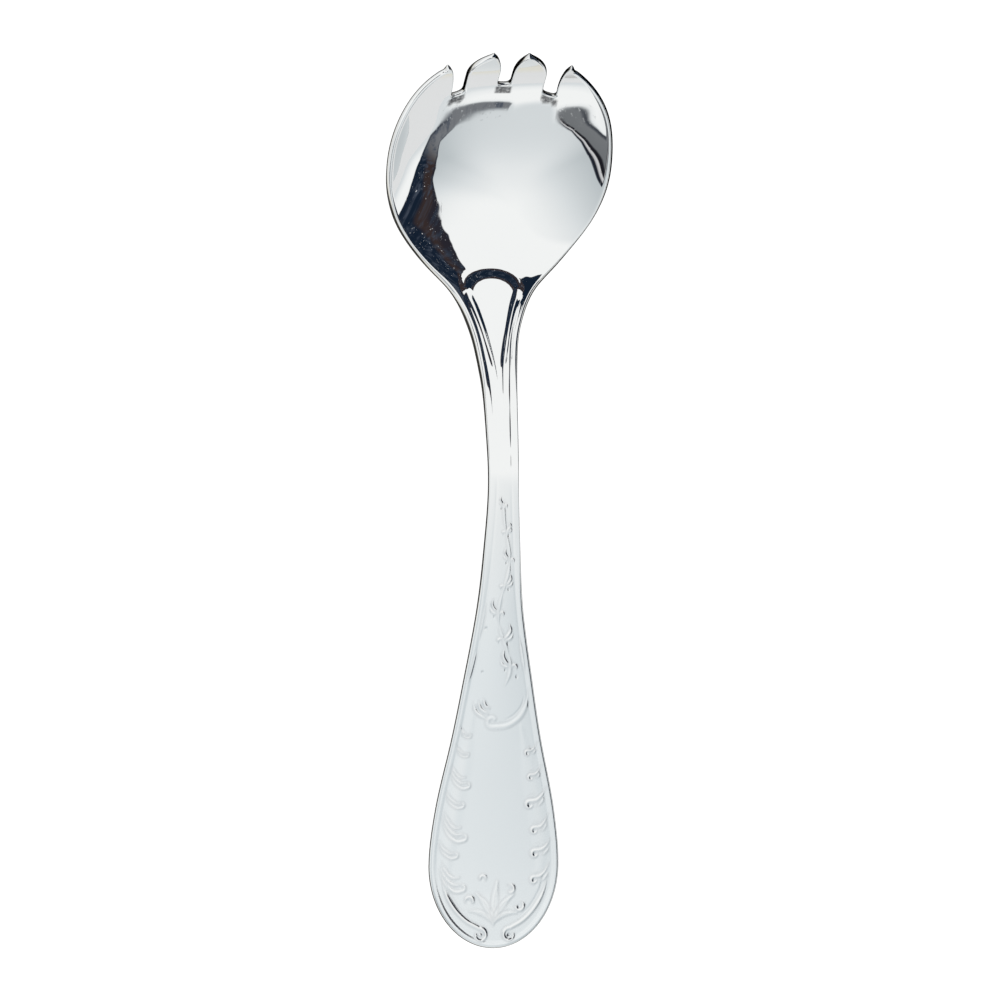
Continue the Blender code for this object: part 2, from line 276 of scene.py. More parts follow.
def fair_curve(points, at):
    """Cubic curve through the points. Each slope is the mean of the slopes beside it, or level at a peak."""
    xs, ys = np.array(points, dtype=float).T
    rise = np.diff(ys) / np.diff(xs)
    slopes = np.concatenate(([rise[0]], 0.5 * (rise[:-1] + rise[1:]), [rise[-1]]))
    level = np.concatenate(([False], rise[:-1] * rise[1:] <= 0, [False]))
    slopes[level] = 0
    inside = np.clip(at, xs[0], xs[-1])
    k = np.clip(np.searchsorted(xs, inside) - 1, 0, len(xs) - 2)
    span = xs[k + 1] - xs[k]
    t = (inside - xs[k]) / span
    ease = t * t * (3 - 2 * t)
    leave = t * (1 - t) ** 2 * span * slopes[k]
    arrive = t * t * (1 - t) * span * slopes[k + 1]
    beyond = np.where(at < xs[0], slopes[0], slopes[-1]) * (at - inside)
    return ys[k] + (ys[k + 1] - ys[k]) * ease + leave - arrive + beyond


def stretch(start, end, first, last, changes=()):
    """The points of one stretch, worked out from its shares. Its end point is left to the next stretch."""
    shares = [(0, 0), *changes]
    return [(start + a * (end - start), first + b * (last - first)) for a, b in shares]


def eased(value, low, high):
    """0 below low, 1 above high, and a smooth step between."""
    share = np.clip((value - low) / (high - low), 0, 1)
    return share * share * (3 - 2 * share)


def window(value, start, end):
    """1 between two smooth steps, each given by its low and high end, and 0 outside them."""
    return eased(value, *start) * (1 - eased(value, *end))


def smooth_line(points, step=0.15):
    """Fine points of a smooth line through the given ones, in millimetres."""
    points = np.array(points, dtype=float)
    at = np.concatenate(([0], np.cumsum(np.linalg.norm(np.diff(points, axis=0), axis=1))))
    fine = np.linspace(0, at[-1], max(int(at[-1] / step), 4) + 1)
    return np.stack([fair_curve(np.stack([at, points[:, k]], axis=-1), fine) for k in range(2)], axis=-1)


def curl(centre, radius, start, turn, shrink):
    """Fine points of a curl about the centre: from the start angle by the turn, while its radius shrinks."""
    share = np.linspace(0, 1, int(abs(turn) / 6) + 2)
    angle = np.radians(start + turn * share)
    reach = radius * (1 - shrink * share)
    return np.stack([centre[0] + reach * np.cos(angle), centre[1] + reach * np.sin(angle)], axis=-1)


class Relief:
    """The struck ornament on the handle's face: ridges, grooves and dots, with places as (x, station) in mm.

    At distance d from a line of half width w the height is h * (1 - (d / w)^2)^2. The highest ridge and the
    deepest groove at a place add up.
    """

    def __init__(self):
        self.lines = []

    def line(self, points, width, height, start=0.25, end=0.25):
        """A ridge, or with a negative height a groove, full in its middle and tapered to its two ends."""
        share = np.linspace(0, 1, len(points))
        swell = start + (1 - start) * eased(share, 0, 0.35)
        swell = np.minimum(swell, end + (1 - end) * eased(1 - share, 0, 0.35))
        self.lines.append((points, width * swell, height * np.sqrt(swell)))

    def curve(self, points, width, height, start=0.25, end=0.25):
        """The same along a smooth line through these points."""
        self.line(smooth_line(points), width, height, start, end)

    def dot(self, x, station, radius, height):
        self.lines.append((np.array([[x, station]]), np.array([radius]), np.array([height])))

    def look(self, x, station):
        """Height in metres, and from 0 to 1 how deep a place lies beside a ridge or in a groove, where the
        steel is painted darker as shade.
        """
        places = np.stack([x.ravel(), station.ravel()], axis=-1) / MM
        ridge, groove, hollow = np.zeros((3, len(places)))
        for points, widths, heights in self.lines:
            reach = widths.max() + HOLLOW_REACH
            low, high = points.min(axis=0) - reach, points.max(axis=0) + reach
            near = np.nonzero(((places > low) & (places < high)).all(axis=1))[0]
            gaps = np.linalg.norm(places[near, None, :] - points[None], axis=-1)
            nearest = gaps.argmin(axis=1)
            gap, width, height = gaps.min(axis=1), widths[nearest], heights[nearest]
            profile = height * (1 - np.clip(gap / width, 0, 1) ** 2) ** 2
            ridge[near] = np.maximum(ridge[near], profile)
            groove[near] = np.minimum(groove[near], profile)
            # A band beside each narrow ridge, and the inside of grooves and dots, make the hollow mask, which
            # paints shade.
            beside = np.exp(-((gap - width) / (0.4 * HOLLOW_REACH)) ** 2) * np.clip(height / 0.2, 0, 1)
            beside = beside * (widths.max() < BROAD)
            within = np.clip(-profile / 0.2, 0, 1)
            hollow[near] = np.maximum(hollow[near], np.maximum(beside, within))
        return (ridge + groove).reshape(x.shape) * MM, hollow.reshape(x.shape)


def leaf_spray(relief, root, size, count, lean):
    """Strands that sweep down from a root on the left border to the middle, the lowest with a hooked end."""
    for k in range(count):
        reach = size * (1 - 0.13 * k)
        start = np.array([root[0] + 0.35 * k * size, root[1] + 3.2 * size + 0.95 * k * size])
        steps = [(0, 0), (0.9, -2.4), (2.6, -4.6 + lean), (4.6, -5.6 + lean), (6.0, -5.3 + lean)]
        points = smooth_line(start + reach * np.array(steps))
        if k == 0:
            hook = curl(points[-1] + (-0.1, 0.8 * size), 0.8 * size, -85, 200, 0.35)
            points = np.concatenate((points, hook[1:]))
        relief.line(points, (0.52 - 0.04 * k) * size + 0.08, 0.20, start=0.25, end=0.5)
        relief.line(points[5:-14] + (0.30, 0.45 * size), 0.26, -0.07)


def comma(relief, eye, size, lean):
    """A scroll that curls about a drilled eye and trails a tail and a leaf up to the right border."""
    eye = np.array(eye)
    tail = [(4.4, 4.4 + lean), (3.3, 2.5 + 0.6 * lean), (1.8, 1.25), (0.1, 1.05)]
    points = smooth_line(eye + size * np.array(tail))
    points = np.concatenate((points, curl(eye + (0, 0.1 * size), 0.95 * size, 88, 240, 0.3)[1:]))
    relief.line(points, 0.62 * size, 0.24, start=0.25, end=0.9)
    relief.dot(eye[0] + 0.1, eye[1], 0.45 * size + 0.1, -0.34)
    leaf = [(4.1, 2.0 + lean), (3.0, 0.4), (2.0, -0.5)]
    relief.curve(eye + size * np.array(leaf), 0.50 * size, 0.17)
    bud = [(1.3, 2.9), (0.5, 2.3), (-0.5, 2.3)]
    relief.curve(eye + size * np.array(bud), 0.42 * size, 0.12)


def handle_relief():
    """Leaves, scrolls and dots in the way of traditional rococo flatware, laid out for this handle."""
    relief = Relief()
    # Soft pads under the ornament along both borders.
    relief.curve([(-13.2, 14), (-13.4, 24), (-12.0, 36), (-9.2, 52), (-6.4, 66)], 3.6, 0.13)
    relief.curve([(12.2, 16), (13.0, 26), (11.6, 38), (9.0, 50), (6.6, 60)], 3.4, 0.12)
    relief.curve([(-4.5, 9.5), (0, 11.5), (5, 10)], 4.2, 0.12)
    # Two bands roll in along the round end and curl about an eye on either side of a palmette.
    for side in (-1, 1):
        band = [(14.9, 20.0), (13.5, 15.0), (11.0, 10.7), (7.8, 7.5), (4.4, 5.6)]
        rolled = np.concatenate((smooth_line(band), curl((4.1, 3.6), 1.95, 82, 285, 0.45)[2:]))
        relief.line(rolled * (side, 1), 0.75, 0.24, start=0.2, end=0.6)
        relief.line((smooth_line(band[:-1]) + (-0.9, 0.9)) * (side, 1), 0.50, -0.10)
        relief.dot(4.0 * side, 3.7, 0.62, -0.32 if side > 0 else 0.22)
    for turn, reach, width in (
        (4, 11.5, 1.15), (-22, 9.6, 0.95), (27, 9.8, 0.95), (-46, 7.4, 0.8), (50, 7.2, 0.8),
    ):
        share = np.linspace(0, 1, 40)
        angle = np.radians(90 - turn * (0.5 + 0.8 * share))
        lobe = np.stack([reach * share * np.cos(angle) - 0.4, 6.4 + reach * share * np.sin(angle)], axis=-1)
        relief.line(lobe, width, 0.20, start=0.35, end=0.5)
        relief.line(lobe[8:-4], 0.36, -0.09)
    for x, station, radius, start, turn in (
        (-6.9, 12.9, 1.35, 200, -215), (4.3, 15.9, 1.25, 120, -215), (6.8, 11.3, 1.35, 70, -230),
        (-3.4, 18.9, 1.0, -30, 200),
    ):
        relief.line(curl((x, station), radius, start, turn, 0.3), 0.55, 0.24, start=0.3, end=0.9)
        relief.dot(x, station, 0.5, -0.12)
    # Sprays of leaves hang in from the left border.
    for station, size, count, lean in (
        (18.0, 1.08, 3, 0.0), (26.0, 0.80, 2, 0.5), (31.8, 1.04, 3, -0.3), (39.6, 0.78, 2, 0.4),
        (45.4, 0.84, 3, -0.1), (53.0, 0.56, 2, 0.3), (58.2, 0.50, 2, 0.0),
    ):
        edge = np.interp(station, (15, 25, 40, 65), (-15.2, -15.7, -13.9, -9.2))
        leaf_spray(relief, (edge, station), size, count, lean)
    # Scrolls with a drilled eye face them from the right border.
    for station, size, lean in (
        (18.2, 0.95, 0.2), (25.3, 1.00, -0.3), (31.6, 0.90, 0.6), (38.6, 1.05, 0.0), (46.0, 0.72, 0.4),
        (52.6, 0.66, 0.0),
    ):
        edge = np.interp(station, (15, 25, 40, 60), (15.0, 15.6, 13.9, 9.9))
        comma(relief, (edge - 4.5 * size, station), size, lean)
    # A cartouche: a broad C scroll with a ribbed leaf on its left horn.
    sweep = [(8.3, 70.0), (7.9, 66.0), (6.0, 62.4), (2.6, 60.2), (-1.4, 59.8)]
    points = np.concatenate((smooth_line(sweep), curl((-1.6, 61.3), 1.5, -92, -225, 0.4)[1:]))
    relief.line(points, 0.95, 0.15, start=0.2, end=0.7)
    relief.curve([(7.2, 68.6), (6.4, 65.4), (4.2, 62.9), (1.0, 61.4)], 0.42, -0.09)
    for k in range(3):
        tip = (-7.0 + 1.45 * k, 66.6 + 0.45 * k)
        rib = smooth_line([tip, (-6.2 + 1.3 * k, 64.2 + 0.75 * k), (-3.2 + 0.4 * k, 61.8 + 1.5 * k)])
        relief.line(rib, 0.62, 0.18, start=0.2, end=0.5)
        relief.line(rib[4:-4] + (0.55, 0.55), 0.30, -0.06)
    # A vine climbs from it into the stem, with leaves to either side in turn.
    station = np.linspace(71, 124, 260)
    sway = np.interp(station, (71, 90, 124), (2.6, 1.7, 0.45))
    middle = np.interp(station, (71, 90, 124), (0.6, 1.0, 0.55))
    vine = np.stack([middle + sway * np.sin((station - 69) / 4.6), station], axis=-1)
    for part in range(0, 240, 40):
        relief.line(vine[part:part + 44], np.interp(part, (0, 240), (0.70, 0.50)), 0.13, start=0.3, end=0.2)
    for k, at in enumerate((76.2, 83.4, 90.6, 97.8, 105.0, 112.4, 119.6)):
        side = 1 if k % 2 else -1
        size = np.interp(at, (70, 124), (1.0, 0.36))
        root = np.array([np.interp(at, station, vine[:, 0]), at])
        frond = [(0, 0), (side * 1.5, 1.4), (side * 2.3, 3.2), (side * 2.0, 4.6)]
        blade = [(0, -0.6), (side * 2.2, 0.3), (side * 3.2, 1.9)]
        tendril = curl(root - (side * 1.2 * size, 0.5), 0.95 * size, 90 - 90 * side, 215 * side, 0.4)
        relief.curve(root + size * np.array(frond), 0.55 * size + 0.12, 0.20, start=0.4, end=0.4)
        relief.curve(root + size * np.array(blade), 0.5 * size + 0.1, 0.17)
        relief.line(tendril, 0.5 * size + 0.08, 0.18)
        relief.dot(root[0] + 1.5 * side * size, at - 0.9, 0.30 * size + 0.14, -0.26)
    for x, at in ((-4.6, 74.8), (4.9, 73.4), (-3.9, 86.6)):
        relief.dot(x, at, 0.45, -0.26)
    for points in ([(-8.3, 72.0), (-7.3, 76.0), (-6.2, 80.5)], [(7.2, 74.2), (6.3, 79.0), (5.4, 84.0)],
                   [(-5.6, 83.5), (-4.9, 88.0), (-4.1, 93.0)]):
        relief.curve(points, 0.48, 0.15)
    return relief


class ForkShape:
    """The fork's outline, heights and thickness as functions of the plan place (x, station).

    Each runs on a table along the station: the fair curve through the solid's own points,
    averaged over a bell of the given reach so that reflections run through without a break.
    """

    def __init__(self, sizes):
        self.sizes = sizes
        self.relief = handle_relief()
        self.stations = np.arange(-TABLE_MARGIN, LENGTH + TABLE_MARGIN, TABLE_STEP)
        self.tables = {}
        handle, stem = sizes.handle_width / 2, sizes.stem_width / 2
        neck, bowl = sizes.neck_width / 2, sizes.bowl_width / 2
        points = [(0, handle)]
        points += stretch(WIDEST, NARROWEST, handle, stem, TAPER_SHARES)
        points += stretch(NARROWEST, NECK, stem, neck, FLARE_SHARES)
        points += stretch(NECK, BOWL, neck, bowl, SHOULDER_SHARES)
        points += [(BOWL, bowl), (LENGTH, bowl)]
        self.add_table("width", points, WIDTH_REACH)
        low = sizes.end_thickness / 2
        swell = low + sizes.handle_rise
        bottom = sizes.bowl_thickness / 2 - REST_DEPTH
        points = stretch(0, WIDEST, low, swell)
        points += stretch(WIDEST, ARCH, swell, sizes.stem_height, RISE_SHARES)
        points += stretch(ARCH, NECK, sizes.stem_height, sizes.neck_height, NECK_SHARES)
        points += stretch(NECK, BOTTOM, sizes.neck_height, bottom, DROP_SHARES)
        points += stretch(BOTTOM, LENGTH, bottom, sizes.tip_height, LIFT_SHARES)
        points += [(LENGTH, sizes.tip_height)]
        self.add_table("centre", points, HEIGHT_REACH)
        points = stretch(0, NARROWEST, -sizes.crown, -sizes.crown)
        points += stretch(NARROWEST, NECK, -sizes.crown, sizes.neck_dish)
        points += stretch(NECK, BOWL, sizes.neck_dish, sizes.bowl_dish, DISH_SHARES)
        points += [(BOWL, sizes.bowl_dish), (LENGTH, sizes.tip_dish)]
        self.add_table("dish", points, HEIGHT_REACH)
        points = [(0, sizes.end_thickness), ((WIDEST + NARROWEST) / 2, sizes.handle_thickness)]
        points += [(ARCH, sizes.stem_thickness), (NECK, sizes.stem_thickness)]
        points += [((NECK + BOTTOM) / 2, sizes.bowl_thickness), (BOWL, sizes.bowl_thickness)]
        points += [(LENGTH, sizes.tine_thickness)]
        self.add_table("metal", points, HEIGHT_REACH)

    def add_table(self, name, points, reach):
        values = fair_curve(points, self.stations)
        offsets = np.arange(-4 * reach, 4 * reach + TABLE_STEP / 2, TABLE_STEP)
        bell = np.exp(-0.5 * (offsets / reach) ** 2)
        padded = np.concatenate((
            values[0] + (values[1] - values[0]) * np.arange(-len(bell), 0),
            values,
            values[-1] + (values[-1] - values[-2]) * np.arange(1, len(bell) + 1),
        ))
        evened = np.convolve(padded, bell / bell.sum(), mode="same")[len(bell):-len(bell)]
        self.tables[name] = evened
        self.tables[name + "_slope"] = np.gradient(evened, TABLE_STEP)

    def look(self, name, station):
        return np.interp(station, self.stations, self.tables[name])

    def share(self, x, station):
        """q, the share of the half width at which a place lies."""
        return np.abs(x) / self.look("width", station)

    def half_width(self, station):
        """Elliptic end, the table between, and an oval front: (1 - share ^ power) ^ (1 / power)."""
        end = np.sqrt(1 - np.clip(1 - station / WIDEST, 0, 1) ** 2)
        share = np.clip((station - BOWL) / (LENGTH - BOWL), 0, 1)
        front = (1 - share**FRONT_POWER) ** (1 / FRONT_POWER)
        return self.look("width", station) * end * front

    def middle(self, x, station):
        """Height of the metal's middle: centre + dish * (q^2 + k q^4) / (1 + k)."""
        q = self.share(x, station)
        share = (q**2 + DISH_STEEPENING * q**4) / (1 + DISH_STEEPENING)
        return self.look("centre", station) + self.look("dish", station) * share

    def slopes(self, x, station):
        """Slopes of the middle surface across and along the fork."""
        width = self.look("width", station)
        q = np.abs(x) / width
        share = (q**2 + DISH_STEEPENING * q**4) / (1 + DISH_STEEPENING)
        change = (2 * q + 4 * DISH_STEEPENING * q**3) / (1 + DISH_STEEPENING)
        dish = self.look("dish", station)
        across = dish * change * np.sign(x) / width
        along = self.look("centre_slope", station) + self.look("dish_slope", station) * share
        along = along - dish * change * q * self.look("width_slope", station) / width
        return across, along

    def normal(self, x, station):
        across, along = self.slopes(x, station)
        normal = np.stack([-across, -along, np.ones_like(across)], axis=-1)
        return normal / np.linalg.norm(normal, axis=-1, keepdims=True)

    def flattening(self, x, station):
        """What the stem's face gains towards its edges: a share of what crown and thinning take, as q^2."""
        fall = self.sizes.crown + EDGE_THINNING * self.look("metal", station) / 2
        return STEM_FLATTENING * fall * self.share(x, station)**2 * window(station, FLAT_FROM, FLAT_TO)

    def half_metal(self, x, station):
        return self.look("metal", station) / 2 * (1 - EDGE_THINNING * self.share(x, station)**2)

    def edge_reach(self, station):
        """How far in from the outline the edge is rounded: full on the handle, crisp on the head."""
        shank = self.sizes.handle_round * (1 - STEM_CRISPNESS * self.on_stem(station))
        return shank + (self.sizes.head_round - shank) * eased(station, *HEAD_FROM)

    def on_stem(self, station):
        """1 on the slender part of the stem, easing to 0 towards the handle and the neck."""
        return window(station, STEM_FROM, STEM_TO)

    def depth_inside(self, x, station):
        """Distance from the outline, inwards, good near the outline of the handle and the stem."""
        side = self.look("width", station)
        slope = self.look("width_slope", station)
        beside = (side - np.abs(x)) / np.sqrt(1 + slope**2)
        back = np.maximum(WIDEST - station, 0)
        q = np.sqrt((x / side) ** 2 + (back / WIDEST) ** 2)
        steep = np.sqrt((x / side**2) ** 2 + (back / WIDEST**2) ** 2) / np.maximum(q, 1e-6)
        round_end = (1 - q) / np.maximum(steep, 1e-6)
        return np.where(station < WIDEST, round_end, beside)

    def border(self, x, station):
        """Height that the border adds: a bead just inside the outline, less a groove on its inner side."""
        depth = self.depth_inside(x, station)
        reach = self.edge_reach(station)
        groove = self.sizes.groove_place
        share = np.clip((depth - reach) / (groove - reach), 0, 1)
        bead = self.sizes.bead_height * (0.5 + 0.5 * np.cos(math.pi * share))
        line = self.sizes.groove_depth * np.exp(-((depth - groove) / self.sizes.groove_width) ** 2)
        fade = 1 - eased(station, *BORDER_TO)
        line = line * eased(station, *GROOVE_FROM) * (1 + 2 * eased(station, *DEEP_GROOVE_FROM))
        waves = np.sin(station * GROOVE_WAVES[0] + np.sign(x)) * np.sin(station * GROOVE_WAVES[1])
        line = line * (1 - GROOVE_VARIATION + GROOVE_VARIATION * waves)
        return (bead * (1 - STEM_BEAD_LOSS * self.on_stem(station)) - line) * fade

    def root_stain(self, x, station):
        """How dark the polish left standing below the slots' roots is, from 0 to 1."""
        total = 0
        half = self.sizes.slot_width / 2
        side_slot = (SLOT_SPACING, SIDE_SLOT_DEPTH, SIDE_ROOT_SLANT)
        for centre, depth, slant in ((0, MIDDLE_SLOT_DEPTH, 0), side_slot):
            across = np.abs(x) - centre
            behind = LENGTH - depth - slant * across - ROOT_STAIN_PLACE - station
            strip = 1 - eased(np.abs(behind) / ROOT_STAIN_REACH, 0.75, 1.1)
            total = total + strip * (1 - eased(np.abs(across) / half, 1.0, 1.35))
        return total

    def tongue(self, x, station):
        """Height of the tongue in which the stem's middle runs out into the bowl: flat top, steep sides and
        round end. A valley on each side and the domed end of each bead come with it."""
        wide, lift = (
            fair_curve(points, np.clip(station, points[0][0], points[-1][0]))
            for points in (TONGUE_HALF_WIDTHS, TONGUE_LIFTS)
        )
        across = 1 - eased(np.abs(x) / wide, 0.80, 1.08)
        ahead = 1 - eased(station + TONGUE_ROUNDNESS * (x / wide) ** 2, *TONGUE_END)
        beside = (np.abs(x) - 1.12 * wide) / VALLEY_WIDTH
        valley = VALLEY_DEPTH * np.exp(-beside**2) * window(station, VALLEY_FROM, VALLEY_TO)
        gap = np.hypot(np.abs(x) - BEAD_END_PLACE[0], station - BEAD_END_PLACE[1]) / BEAD_END_RADIUS
        dome = BEAD_END_HEIGHT * (1 - np.clip(gap, 0, 1) ** 2) ** 2
        return lift * across * ahead - valley + dome

    def face(self, x, station):
        """Height of the upper face above the metal's middle."""
        raised = self.relief.look(x, station)[0] + self.tongue(x, station) + self.flattening(x, station)
        return self.half_metal(x, station) + self.border(x, station) + raised

    def place(self, x, station, offset):
        """Points at the given offset along the normal of the middle surface."""
        middle = np.stack([x, station - LENGTH / 2, self.middle(x, station)], axis=-1)
        return middle + self.normal(x, station) * offset[..., None]


def outline_normals(points, turn, last=None):
    """Unit normals in plan along an open outline, to the right of its run or, with turn -1, to its left."""
    run = np.gradient(points, axis=0)
    run /= np.linalg.norm(run, axis=1, keepdims=True)
    normals = turn * np.stack([run[:, 1], -run[:, 0]], axis=-1)
    if last is not None:
        normals[-1] = last
    return normals


def even_steps(points, count):
    """The same line, cut at even lengths."""
    steps = np.linalg.norm(np.diff(points, axis=0), axis=1)
    length = np.concatenate(([0], np.cumsum(steps)))
    at = np.linspace(0, length[-1], count)
    return np.stack([np.interp(at, length, points[:, k]) for k in range(2)], axis=-1)


def tip_arc(start, end, turn, count=24):
    """Points after start, which leave it along the fork and reach end as an ellipse does in this turn."""
    angles = np.linspace(0, turn, count + 1)
    across = (1 - np.cos(angles)) / (1 - math.cos(turn))
    along = np.sin(angles) / math.sin(turn)
    return np.array(start) + np.stack([across, along], axis=-1) * np.subtract(end, start)


def slot_root(centre, root, slant, width):
    """Fine points of a slot's root from its +X wall round to its -X wall: half a superellipse, sheared."""
    angles = np.linspace(0, math.pi, 401)
    across = np.sign(np.cos(angles)) * np.abs(np.cos(angles)) ** ROOT_SQUARENESS * width / 2
    ahead = SLOT_ROOT_DEPTH * (1 - np.abs(np.sin(angles)) ** ROOT_SQUARENESS)
    return np.stack([centre + across, root + ahead - slant * across], axis=-1)


def tine_wall(side, start, tip, rounding, turn):
    """A tine's wall as a function, its x at a station: straight on from side, then an arc to the tip."""
    points = np.concatenate(([(side, start - MM)], tip_arc((side, tip[1] - rounding), tip, turn)))
    return lambda station: np.interp(station, points[:, 1], points[:, 0])


def closed_tine(left, right, start, tip, closing, count):
    """Both walls of a tine up to its rounded tip: near the tip, half width * sqrt(1 - share ^ 4)."""
    stations = start + (tip - start) * np.sin(np.linspace(0, math.pi / 2, count))
    stations[-1] = tip
    centre = (left(stations) + right(stations)) / 2
    share = np.clip((stations - tip + closing) / closing, 0, 1)
    half = (right(stations) - left(stations)) / 2 * np.sqrt(1 - share**4)
    walls = [np.stack([centre + side * half, stations], axis=-1) for side in (-1, 1)]
    return *walls, half


class Edge:
    """An open run of the outline with its plan normals, and the border line that lies inside it."""

    def __init__(self, shape, outline, normals, half_room=np.inf, rim=False):
        """half_room, half the metal's plan width, keeps the border off the far side. At a rim that rises
        outwards the border lies further in, since the underside stands out below it."""
        self.outline = outline
        self.normals = normals
        full = shape.edge_reach(outline[:, 1])
        self.reach = np.minimum(full, TINE_EDGE_SHARE * half_room)
        inset = self.reach
        if rim:
            across, along = shape.slopes(*outline.T)
            rise = np.maximum(across * normals[:, 0] + along * normals[:, 1], 0)
            overhang = RIM_OVERHANG * shape.half_metal(*outline.T) * rise / np.sqrt(1 + rise**2)
            inset = inset + overhang * (self.reach / full) ** 2
        self.inner = outline - normals * inset[:, None]


def tine_edge(shape, wall, turn, half, start, rim=False):
    """The edge along a tine's wall, from the given (normal, border place) to its tip, which faces ahead."""
    room = np.concatenate((np.full(len(wall) - len(half), half[0]), half))
    edge = Edge(shape, wall, outline_normals(wall, turn, (0, 1)), room, rim)
    edge.normals[0], edge.inner[0] = start
    return edge


def shank_edge(shape, last_station):
    """The +X outline from the end of the handle to where the side slot begins, rows by border station."""
    turn = np.linspace(0, math.pi / 2, 2001)
    side = shape.sizes.handle_width / 2
    end = np.stack([side * np.sin(turn), WIDEST * (1 - np.cos(turn))], axis=-1)
    end = even_steps(end, END_ROWS + 1)
    fine = np.arange(WIDEST, last_station + 0.004, TABLE_STEP)
    rest = np.stack([shape.half_width(fine), fine], axis=-1)
    rest_normals = outline_normals(rest, 1)
    rest_border = Edge(shape, rest, rest_normals, rim=True).inner[:, 1]
    runs = [np.arange(WIDEST + FACE_STEP, NECK_STEPS_FROM, FACE_STEP)]
    runs += [np.arange(NECK_STEPS_FROM + NECK_STEP / 2, HEAD_STEPS_FROM, NECK_STEP)]
    count = int((last_station - HEAD_STEPS_FROM) / HEAD_STEP)
    runs += [np.linspace(HEAD_STEPS_FROM + HEAD_STEP / 2, last_station, count)]
    at = np.interp(np.concatenate(runs), rest_border, fine)
    outline = np.stack([shape.half_width(at), at], axis=-1)
    slope = np.interp(at, fine, np.gradient(rest[:, 0], TABLE_STEP))
    normals = np.stack([np.ones_like(slope), -slope], axis=-1)
    back = np.stack([end[:, 0] / side**2, -(WIDEST - end[:, 1]) / WIDEST**2], axis=-1)
    normals = np.concatenate((back, normals))
    normals /= np.linalg.norm(normals, axis=1, keepdims=True)
    return Edge(shape, np.concatenate((end, outline)), normals, rim=True)


def ruled(left, right, columns):
    """A grid of plan places: each row runs straight from the left line to the right one."""
    share = np.linspace(0, 1, columns + 1)[None, :, None]
    return left[:, None, :] * (1 - share) + right[:, None, :] * share


class Builder:
    """Gathers grids of points as quads."""

    def __init__(self):
        self.points = []
        self.faces = []
        self.count = 0

    def add(self, grid, flip):
        rows, columns = grid.shape[:2]
        ids = self.count + np.arange(rows * columns).reshape(rows, columns)
        corners = [ids[:-1, :-1], ids[:-1, 1:], ids[1:, 1:], ids[1:, :-1]]
        quads = np.stack(corners[::-1] if flip else corners, axis=-1).reshape(-1, 4)
        self.points.append(grid.reshape(-1, 3))
        self.faces.append(quads)
        self.count += rows * columns

    def mesh(self, name):
        """Welds the grids along their shared lines into one closed mesh with its faces outwards."""
        mesh = bpy.data.meshes.new(name)
        points, faces = np.concatenate(self.points), np.concatenate(self.faces)
        mesh.from_pydata(points.tolist(), [], faces.tolist())
        work = bmesh.new()
        work.from_mesh(mesh)
        bmesh.ops.remove_doubles(work, verts=work.verts, dist=WELD)
        bmesh.ops.recalc_face_normals(work, faces=work.faces)
        open_edges = sum(1 for edge in work.edges if not edge.is_manifold)
        work.to_mesh(mesh)
        work.free()
        if open_edges:
            raise RuntimeError(f"{name}: {open_edges} edges are open or shared by more than two faces")
        mesh.polygons.foreach_set("use_smooth", np.ones(len(mesh.polygons), dtype=bool))
        return mesh


def add_sheet(builder, shape, left, right, columns, under_columns):
    """Upper face and underside between two border lines, and the same mirrored to the -X side."""
    for side in (1, -1):
        plan = ruled(left, right, columns) * np.array([side, 1])
        x, station = plan[..., 0], plan[..., 1]
        builder.add(shape.place(x, station, shape.face(x, station)), side < 0)
        plan = ruled(left, right, under_columns) * np.array([side, 1])
        x, station = plan[..., 0], plan[..., 1]
        builder.add(rested(shape.place(x, station, -shape.half_metal(x, station))), side > 0)


def rested(points):
    """No point lower than the floor: the ground flat that the bowl rests on."""
    points[..., 2] = np.maximum(points[..., 2], 0)
    return points


def add_band(builder, shape, edge, flip):
    """The rounded edge: from the upper border over the outline to the lower border.

    At height share v from 1 to -1 it stands out by reach * sqrt(1 - |v| ^ n). The power n is larger on the
    head for the upper half and smaller for the lower.
    """
    for side in (1, -1):
        x, station = (edge.inner * np.array([side, 1])).T
        normals = edge.normals * np.array([side, 1])
        over = shape.face(x, station)
        under = shape.half_metal(x, station)
        across, along = shape.slopes(x, station)
        lift = across * normals[:, 0] + along * normals[:, 1]
        outward = np.stack([normals[:, 0], normals[:, 1], lift], axis=-1)
        v = np.cos(np.linspace(0, math.pi, BAND_STEPS + 1))
        on_head = eased(station, *HEAD_FROM)[:, None]
        power = EDGE_POWER + np.where(v > 0, HEAD_POWER_ABOVE, HEAD_POWER_BELOW) * on_head
        out = np.sqrt(1 - np.abs(v) ** power) * edge.reach[:, None]
        rise = (over - under)[:, None] / 2 + (over + under)[:, None] / 2 * v[None, :]
        rise[:, 0] = over
        rise[:, -1] = -under
        middle = np.stack([x, station - LENGTH / 2, shape.middle(x, station)], axis=-1)
        grid = middle[:, None, :] + shape.normal(x, station)[:, None, :] * rise[..., None]
        grid = rested(grid + outward[:, None, :] * out[..., None])
        builder.add(grid, flip if side > 0 else not flip)


